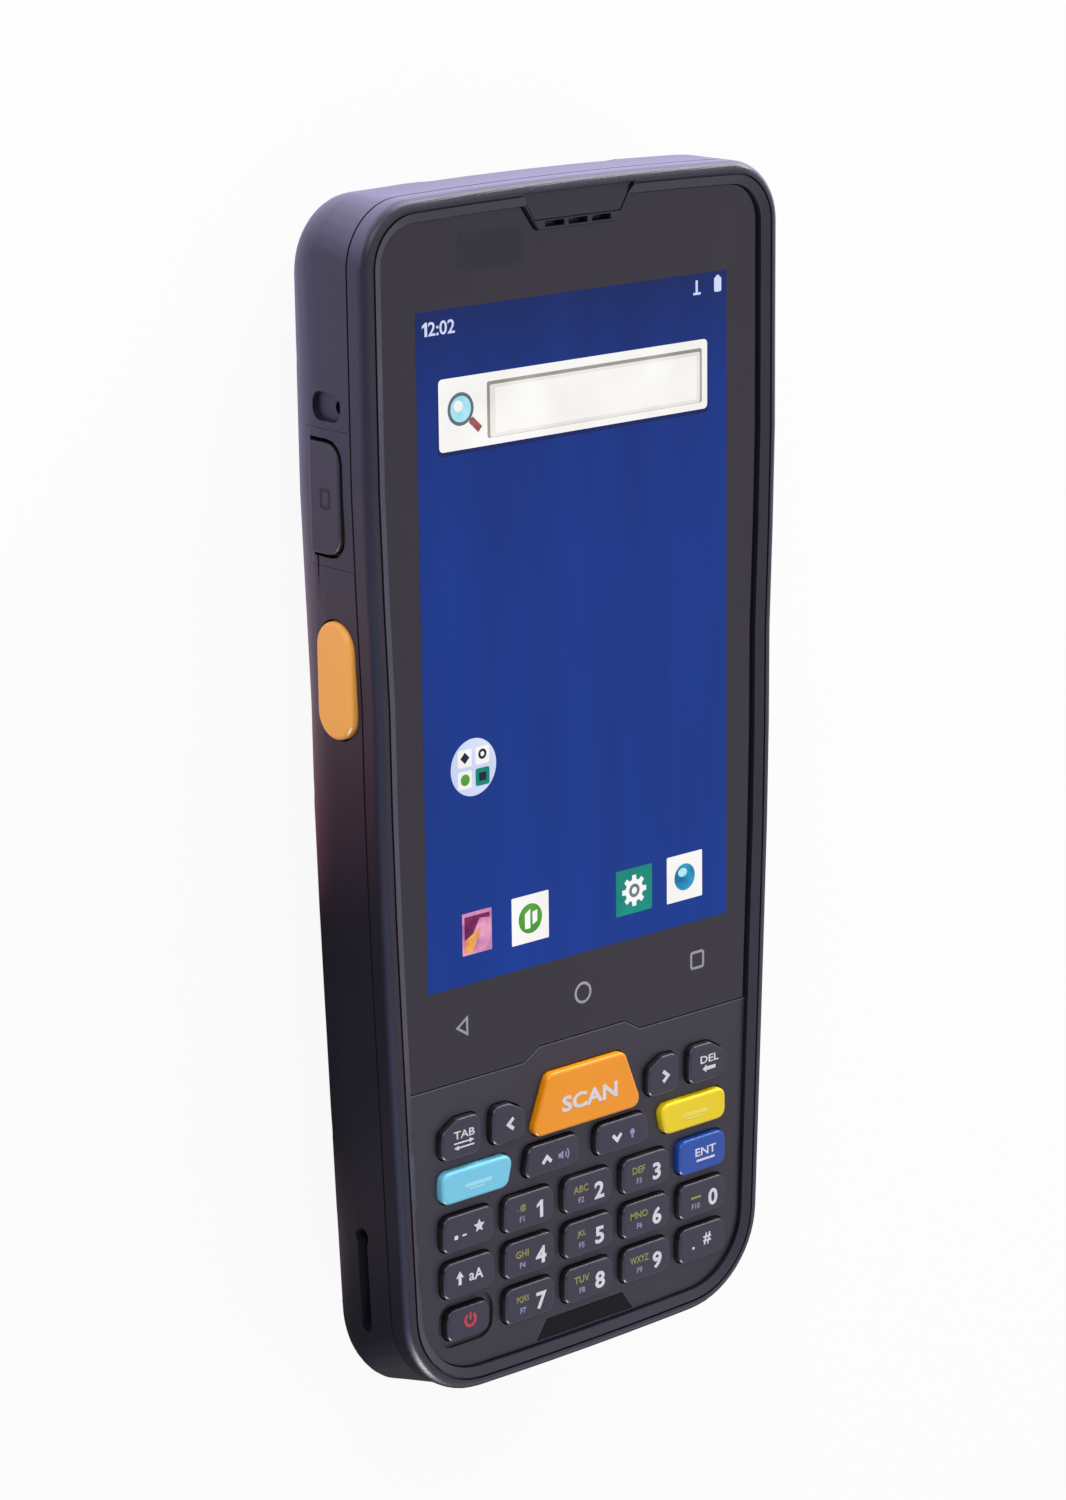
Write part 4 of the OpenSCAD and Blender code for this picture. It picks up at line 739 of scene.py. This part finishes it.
low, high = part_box("camera_window")
window_y, levels = (low.y + high.y) / 2 / MM, (0, PRINT_DEPTH)
lens_coating = moulded("lens_coating", "#1a1440", "#120c30", 0.06, patch=1.5, depth=0.001)
diffuser = moulded("flash_diffuser", "#f1ead2", "#e6dfc6", 0.3, grain=0.3, depth=0.01, patch=1.5)
laid([(hoop, levels, LENS_X, window_y, RING_R, RING_LINE),
      (slab, levels, disc_points(LENS_X, window_y, LENS_R), 1),
      (slab, levels, disc_points(-LENS_X, window_y, FLASH_R), 2)],
     "camera_prints", "terminal", [key_print, lens_coating, diffuser], turned_over(low.z))

# ---- Keypad panel ----
# A satin plate, snapped in below the glass, that holds the keys back by their flanges. A fine moulded bead
# along its upper edge closes the gap to the glass; its pale tone is a painted highlight of the edge catching
# light.

SPLIT_HALF, SPLIT_Y, BEAD_TOP = 29.5, -35.7, 24.93
TONGUE_HALF, TONGUE_ROOT, TONGUE_RISE, BEAD_WIDTH, BEAD_DEPTH = 7.5, 10.2, 1.6, 0.16, 0.08
panel_plastic = moulded("satin_panel", "#2b2931", "#28262e", 0.38, grain=0.4, depth=0.012)
finished(rounder(merged("keypad_panel")), "keypad_panel", "keypad_plate", "terminal",
         [panel_plastic])
split_path = [(SPLIT_HALF, SPLIT_Y), (TONGUE_ROOT, SPLIT_Y), (TONGUE_HALF, SPLIT_Y + TONGUE_RISE)]
split_path = [(-x, y) for x, y in split_path] + split_path[::-1]
# the bead's pale grey is a painted highlight along the split
laid([(stroke, (BEAD_TOP - BEAD_DEPTH, BEAD_TOP), [(x, y - BEAD_WIDTH / 2) for x, y in split_path],
       BEAD_WIDTH)], "panel_bead_highlight", "terminal",
     [moulded("bead_painted_highlight", "#5b5866", "#524f5d", 0.3, depth=0.004)], Matrix())

# ---- Keys ----
# Twenty-four hard caps on a rubber mat. The dark caps' steep sides are given a near-black painted shade, for the
# shadow they stand in; the coloured ones are moulded through. The legends are pad-printed.

CAP_TRIM, CAP_EDGE, CAP_SIDE = 0.6, 0.42, 0.45
ROUND_STEPS, SHARPEST_TURN = 6, 0.5
CUT_JOIN, CROWN_JOIN = 0.04, 0.004


def rounded_over(form, along, sign, trim, edge):
    """Cuts the end off a form that is convex there, and closes it again with a rounded edge.

    along is the axis, 0 to 2, and sign the way that the end faces."""
    tip = max(sign * v.co[along] for v in form.verts)
    plane = Vector((0, 0, 0))
    plane[along] = sign * (tip - trim * MM)
    normal = Vector((0, 0, 0))
    normal[along] = sign
    bmesh.ops.bisect_plane(form, geom=form.verts[:] + form.edges[:] + form.faces[:], dist=1e-7,
                           plane_co=plane, plane_no=normal, clear_outer=True)
    bmesh.ops.remove_doubles(form, verts=[v for v in form.verts if v.is_boundary], dist=CUT_JOIN * MM)
    rim = [e for e in form.edges if e.is_boundary]
    ring = [rim[0].verts[0], rim[0].verts[1]]
    while len(ring) < len(rim):
        onward = next(e for e in ring[-1].link_edges if e.is_boundary and ring[-2] not in e.verts)
        ring.append(onward.other_vert(ring[-1]))
    centre = sum((v.co for v in ring), Vector()) / len(ring)
    base = [v.co.copy() for v in ring]
    inward = []
    for k, here in enumerate(base):
        a, b = (here - base[k - 1]).normalized(), (base[(k + 1) % len(base)] - here).normalized()
        side_a, side_b = normal.cross(a), normal.cross(b)
        if side_a.dot(centre - here) < 0:
            side_a, side_b = -side_a, -side_b
        bisector = (side_a + side_b).normalized()
        inward.append(bisector / max(SHARPEST_TURN, bisector.dot(side_a)))
    for step in range(ROUND_STEPS + 1):
        angle = math.radians(90 * step / ROUND_STEPS)
        inset, rise = edge * (1 - math.cos(angle)), trim - edge + edge * math.sin(angle)
        places = [p + (w * inset + normal * rise) * MM for p, w in zip(base, inward)]
        for k in range(len(places)):
            # in a tight corner the ring closes up instead of crossing itself
            if (places[k] - places[k - 1]).dot(base[k] - base[k - 1]) <= 0:
                places[k] = places[k - 1] = (places[k] + places[k - 1]) / 2
        above = [form.verts.new(place) for place in places]
        for k in range(len(above)):
            form.faces.new((ring[k - 1], ring[k], above[k], above[k - 1])).smooth = True
        ring = above
    form.faces.new(ring).smooth = True
    bmesh.ops.remove_doubles(form, verts=form.verts, dist=CROWN_JOIN * MM)
    bmesh.ops.recalc_face_normals(form, faces=form.faces)


cap_plastic = moulded("satin_cap", "#2d2c3b", "#292837", 0.36, grain=0.4, depth=0.01)
cap_side_shade = moulded("cap_side_painted_shade", "#070608", "#050406", 0.6, grain=0.4, depth=0.01)
KEY_COLOURS = {
    "scan": ("scan_key", moulded("orange_cap", "#ffa00a", "#fc9a08", 0.35, depth=0.008)),
    "blue": ("sky_key", moulded("sky_cap", "#80d6f4", "#7ad2f1", 0.35, depth=0.008)),
    "yellow": ("yellow_key", moulded("yellow_cap", "#fbdf06", "#f8da04", 0.35, depth=0.008)),
    "enter": ("enter_key", moulded("blue_cap", "#1a4eb0", "#174aa8", 0.35, depth=0.008)),
}
for node in [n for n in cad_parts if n.startswith("key_") and n != "key_domes"]:
    key = node[len("key_") :]
    slot, plastic = KEY_COLOURS.get(key, ("keycap", cap_plastic))
    form = merged(node)
    rounded_over(form, 2, 1, CAP_TRIM, CAP_EDGE)
    # the steep sides of a dark cap take the near-black painted shade
    if slot == "keycap":
        second_finish(form, lambda face: face.normal.z < CAP_SIDE)
    finished(form, node, "cap_" + key, node, [plastic, cap_side_shade])

PRINTS = {"white_print": ("#e9e7ee", "#dddbe4"), "olive_print": ("#9c9a52", "#8f8d4a"),
          "lilac_print": ("#9a9cc4", "#8e90ba"), "red_print": ("#cf3f52", "#c23548")}
INKS = [moulded(name, *tones, 0.45, grain=0.2, depth=0.002, patch=2) for name, tones in PRINTS.items()]
PLAIN, OLIVE, LILAC, RED = range(4)
# Legends are drawn round the middle of the key's top, between these levels.
PRINT = (-0.005, 0.02)


def chevron(dx, dy):
    """A bold chevron that points along X, or along Y beside a sign."""
    x, y = (0.25 if dx else -1.1), -0.15
    path = [(x - dx * 0.45 - dy * 0.75, y - dy * 0.4 - dx * 0.75), (x + dx * 0.45, y + dy * 0.4),
            (x - dx * 0.45 + dy * 0.75, y - dy * 0.4 + dx * 0.75)]
    return stroke, PRINT, path, 0.5


def arrow(x, y, way):
    """A thin arrow with a solid tip, as on a tab key."""
    tip, neck, tail = x + way * 1.7, x + way * 0.9, x - way * 1.7
    return slab, PRINT, [(tail, y - 0.1), (neck, y - 0.1), (neck, y - 0.33), (tip, y), (neck, y + 0.33),
                         (neck, y + 0.1), (tail, y + 0.1)]


# A digit stands on the right, with its phone letters or its blank, and its function number, on the left.
PHONE_LETTERS = {"1": ". @", "2": "ABC", "3": "DEF", "4": "GHI", "5": "JKL", "6": "MNO", "7": "PQRS",
                 "8": "TUV", "9": "WXYZ", "0": "_"}
LEGENDS = {}
for digit, small in PHONE_LETTERS.items():
    LEGENDS[digit] = [
        (digit_one, PRINT, 1.65, -0.25, 2.4) if digit == "1"
        else (letters, PRINT, digit, 1.85, -0.3, 2.4, PLAIN, 0.03, 1.1),
        (stroke, PRINT, [(-2.2, 0.35), (-0.4, 0.35)], 0.3, OLIVE) if small == "_"
        else (letters, PRINT, small, -1.4, 0.65, 1.0, OLIVE, 0.018, 1.0 if len(small) < 4 else 0.8),
        (letters, PRINT, "F10" if digit == "0" else "F" + digit, -1.35, -0.9, 0.8, LILAC, 0.02)]
star = [(1.7 + r * math.cos(math.radians(a)), 0.2 + r * math.sin(math.radians(a)))
        for a, r in zip(range(90, 450, 36), (0.95, 0.45) * 5)]
# The light blue and yellow keys carry only a bar, in a paler tint of their own colour.
bar = [(slab, PRINT, card_points(-2.2, -0.45, 2.4, 0.05, 0.12)),
       (slab, PRINT, card_points(-1.4, -0.85, 1.2, -0.65, 0.08))]
LEGENDS.update({
    "tab": [(letters, PRINT, "TAB", 0.4, 0.55, 1.05, PLAIN, 0.015, 1.3), arrow(0.35, -0.55, 1),
            arrow(0.35, -1.2, -1)],
    "delete": [(letters, PRINT, "DEL", 0.3, 0.5, 1.05, PLAIN, 0.015, 1.35),
               (slab, PRINT, [(-1.0, -0.85), (-0.3, -1.4), (-0.3, -1.1), (1.4, -1.1), (1.4, -0.6),
                              (-0.3, -0.6), (-0.3, -0.3)])],
    "left": [chevron(-1, 0)],
    "right": [chevron(1, 0)],
    # a loudspeaker, and a lamp
    "up": [chevron(0, 1),
           (slab, PRINT, [(0.9, -0.45), (1.3, -0.45), (1.75, -0.75), (1.75, 0.45), (1.3, 0.15), (0.9, 0.15)],
            LILAC),
           (stroke, PRINT, disc_points(1.75, -0.15, 0.5, -45, 45, 7), 0.22, LILAC),
           (stroke, PRINT, disc_points(1.75, -0.15, 0.95, -45, 45, 7), 0.22, LILAC)],
    "down": [chevron(0, -1), (slab, PRINT, disc_points(1.65, 0, 0.42, count=12), LILAC),
             (stroke, PRINT, [(1.65, -0.35), (1.65, -0.85)], 0.35, LILAC)],
    "scan": [(letters, PRINT, "SCAN", 0.35, -0.6, 2.2, PLAIN, 0.03, 1.32)],
    "star": [(slab, PRINT, card_points(-2.5, -0.75, -1.9, -0.2, 0.1)),
             (slab, PRINT, card_points(-1.15, -0.55, -0.45, -0.3, 0.05)), (slab, PRINT, star)],
    "shift": [(slab, PRINT, [(-1.7, 1.15), (-2.35, 0.25), (-1.95, 0.25), (-1.95, -0.75), (-1.45, -0.75),
                             (-1.45, 0.25), (-1.05, 0.25)]),
              (letters, PRINT, "a", 0.3, -0.1, 1.05, PLAIN, 0.015),
              (letters, PRINT, "A", 1.5, 0.1, 1.5, PLAIN, 0.02)],
    "hash": [(letters, PRINT, "#", 0.75, 0.3, 1.7, PLAIN, 0.02),
             (slab, PRINT, card_points(-2.0, -0.7, -1.6, -0.35, 0.08))],
    "enter": [(letters, PRINT, "ENT", 0.5, 0.35, 1.15, PLAIN, 0.018, 1.3),
              (stroke, PRINT, [(-1.2, -0.85), (2.2, -0.85)], 0.3)],
    "power": [(stroke, PRINT, disc_points(0.2, 0.25, 0.85, 125, 415, 22), 0.42, RED),
              (stroke, PRINT, [(0.2, 0.25), (0.2, 1.25)], 0.4, RED)],
    "blue": bar,
    "yellow": bar,
})
TINTS = {"blue": ("#b4ecfb", "#a8e6f8"), "yellow": ("#fbe878", "#f6e36c")}
for key, marks in LEGENDS.items():
    low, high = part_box("key_" + key)
    inks = INKS
    if key in TINTS:
        inks = [moulded(key + "_tint_print", *TINTS[key], 0.4, grain=0.2, depth=0.002, patch=2)]
    laid(marks, "legend_" + key, "key_" + key, inks,
         Matrix.Translation(((low.x + high.x) / 2, (low.y + high.y) / 2, high.z)))

# ---- Plates ----
# Two bare plates of lacquered aluminium, one in the head's tab and one at the foot of the keypad.

grey_lacquer = moulded("grey_lacquer", "#1c1a22", "#18161e", 0.3, depth=0.004)
black_lacquer = moulded("black_lacquer", "#070608", "#050406", 0.35, grain=0.8, depth=0.003, ior=1.25)
finished(merged("badge_plate"), "badge_plate", "head_plate", "terminal", [grey_lacquer])
finished(merged("name_plate"), "name_plate", "foot_plate", "terminal", [black_lacquer])

# ---- Triggers ----
# An orange thumb key in each side, moulded in satin plastic.

TRIGGER_TRIM, TRIGGER_EDGE = 0.75, 0.6
trigger_plastic = moulded("orange_trigger", "#ffb352", "#ffae4c", 0.36, depth=0.008)
for side, sign in (("left", -1), ("right", 1)):
    form = merged(side + "_trigger")
    rounded_over(form, 0, sign, TRIGGER_TRIM, TRIGGER_EDGE)
    finished(form, side + "_trigger", side + "_thumb_key", side + "_trigger", [trigger_plastic])

# ---- Port cover ----
# A flap of moulded rubber over the port, dark grey and nearly matt, with a port sign moulded into it. It is
# trimmed back from its frame at the head, the foot and the top, where the groove round it shows wide.

FLAP_GROOVE, FLAP_TRIM, FLAP_EDGE, FLAP_FACING = 0.25, 0.4, 0.3, -0.25
SIGN_HALF_Y, SIGN_HALF_Z, SIGN_CORNER, SIGN_LINE, SIGN_DEPTH = 1.1, 0.8, 0.2, 0.4, 0.03
flap_rubber = moulded("flap_rubber", "#2c2a34", "#282630", 0.5, grain=0.5, depth=0.012)
form = merged("port_cover")
low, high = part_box("port_cover")
flap_y, flap_z = (low.y + high.y) / 2, (low.z + high.z) / 2
narrower = 1 - 2 * FLAP_GROOVE * MM / (high.y - low.y)
lower = 1 - FLAP_GROOVE * MM / (high.z - low.z)
for vertex in form.verts:
    vertex.co.y = flap_y + (vertex.co.y - flap_y) * narrower
    vertex.co.z = low.z + (vertex.co.z - low.z) * lower
rounded_over(form, 0, -1, FLAP_TRIM, FLAP_EDGE)
# the flap's sides, down in the groove, take the groove's near-black painted shade
second_finish(form, lambda face: face.normal.x > FLAP_FACING)
finished(form, "port_cover", "port_flap", "port_cover", [flap_rubber, groove_shade])

# the sign is drawn as [along, height] and turned to face left
# the sign's outline is near black: painted shade, for the shadow in its moulded recess
sign_shade = moulded("sign_painted_shade", "#0a090b", "#080709", 0.65, grain=0.3, depth=0.01)
outline = card_points(-SIGN_HALF_Y, -SIGN_HALF_Z, SIGN_HALF_Y, SIGN_HALF_Z, SIGN_CORNER)
laid([(stroke, (0, SIGN_DEPTH), outline, SIGN_LINE, 0, True)], "port_sign", "port_cover",
     [sign_shade], Matrix(((0, 0, -1, low.x), (1, 0, 0, flap_y), (0, 1, 0, flap_z), (0, 0, 0, 1))))

# ---- Case screws ----
# Six zinc-nickel plated socket screws hold the two cases together from the back, each in its own recess.

low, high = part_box("case_screws")
SOCKET_CLEAR, SHANK_START, HEAD_SPREAD, HEAD_LEVEL = 0.02, 1.1, 3.3, 0.01
SCREW_SIZES = {"Head Radius": 1.6, "Head Height": 1.4, "Socket Radius": 0.8, "Socket Depth": 0.9,
               "Shank Radius": 0.8, "Screw Length": (high.z - low.z) / MM - SHANK_START}
zinc = plated("zinc_nickel_plate", "#a5a7ab", "#85878c", 0.32, grain=0.4)
tree, given = node_tree("socket_screw", SCREW_SIZES)


def screw_part(radius, depth, offset, sides):
    """One round or six-sided part of the screw, standing on a level above the head's face."""
    part = add(tree, "GeometryNodeMeshCylinder", {"Vertices": sides},
               {"Radius": given[radius], "Depth": given[depth]})
    middle = add(tree, "ShaderNodeMath", {1: 0.5}, {0: given[depth]}, operation="MULTIPLY")
    level = add(tree, "ShaderNodeMath", {1: offset * MM}, {0: middle}, operation="ADD")
    up = add(tree, "ShaderNodeCombineXYZ", links={"Z": level})
    return add(tree, "GeometryNodeTransform", links={"Geometry": part, "Translation": up})


head = screw_part("Head Radius", "Head Height", 0, 32)
socket = screw_part("Socket Radius", "Socket Depth", -SOCKET_CLEAR, 6)
shank = screw_part("Shank Radius", "Screw Length", SHANK_START, 20)
drilled = add(tree, "GeometryNodeMeshBoolean", links={"Mesh 1": head, "Mesh 2": socket}, operation="DIFFERENCE")
screw = add(tree, "GeometryNodeJoinGeometry", links={0: [drilled, shank]})
driven = add(tree, "GeometryNodeInstanceOnPoints", links={"Points": given["Geometry"], "Instance": screw})
close_tree(tree, driven, zinc)

# each screw stands in the middle of the points that its CAD head has on the outermost level
solid = merged("case_screws")
faced = [v.co.copy() for v in solid.verts if v.co.z < low.z + HEAD_LEVEL * MM]
solid.free()
places = set()
for point in faced:
    ring = [other for other in faced if (other - point).length < HEAD_SPREAD * MM]
    middle = [(min(c[k] for c in ring) + max(c[k] for c in ring)) / 2 / MM for k in (0, 1)]
    places.add((round(middle[0], 1), round(middle[1], 1), low.z / MM))
screws = grown("case_screw_set", tree, sorted(places), SCREW_SIZES, "terminal")
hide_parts("case_screws")

# ---- Cradle contacts ----
# Five gold-plated pads in the foot, pressed in at a standard 4 mm pitch, that charge the terminal.
coat("cradle_contacts", gold_plate)

# ---- Battery pack ----
# A lithium pack in black shrink film, with a bare silver label on its outer face.

LABEL_HALF, LABEL_LOW, LABEL_HIGH, LABEL_CORNER, LABEL_DEPTH = 17.0, -27.0, 20.0, 1.5, 0.04
coat("battery_pack", moulded("shrink_film", "#23262e", "#1d2027", 0.28, grain=1.2, depth=0.01))
low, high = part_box("battery_pack")
pack_y = (low.y + high.y) / 2 / MM
label = card_points(-LABEL_HALF, pack_y + LABEL_LOW, LABEL_HALF, pack_y + LABEL_HIGH, LABEL_CORNER)
label_film = moulded("bare_label_film", "#b9bcc2", "#acafb5", 0.35, grain=0.8, depth=0.003)
laid([(slab, (0, LABEL_DEPTH), label)], "battery_label", "battery_pack", [label_film],
     turned_over(low.z))

# ---- Battery cover ----
# The lid over the battery bay, in the case's own plastic, held by hooks at its head end and a latch.
finished(rounder(merged("battery_cover")), "battery_cover", "battery_lid", "battery_cover",
         [housing_plastic])
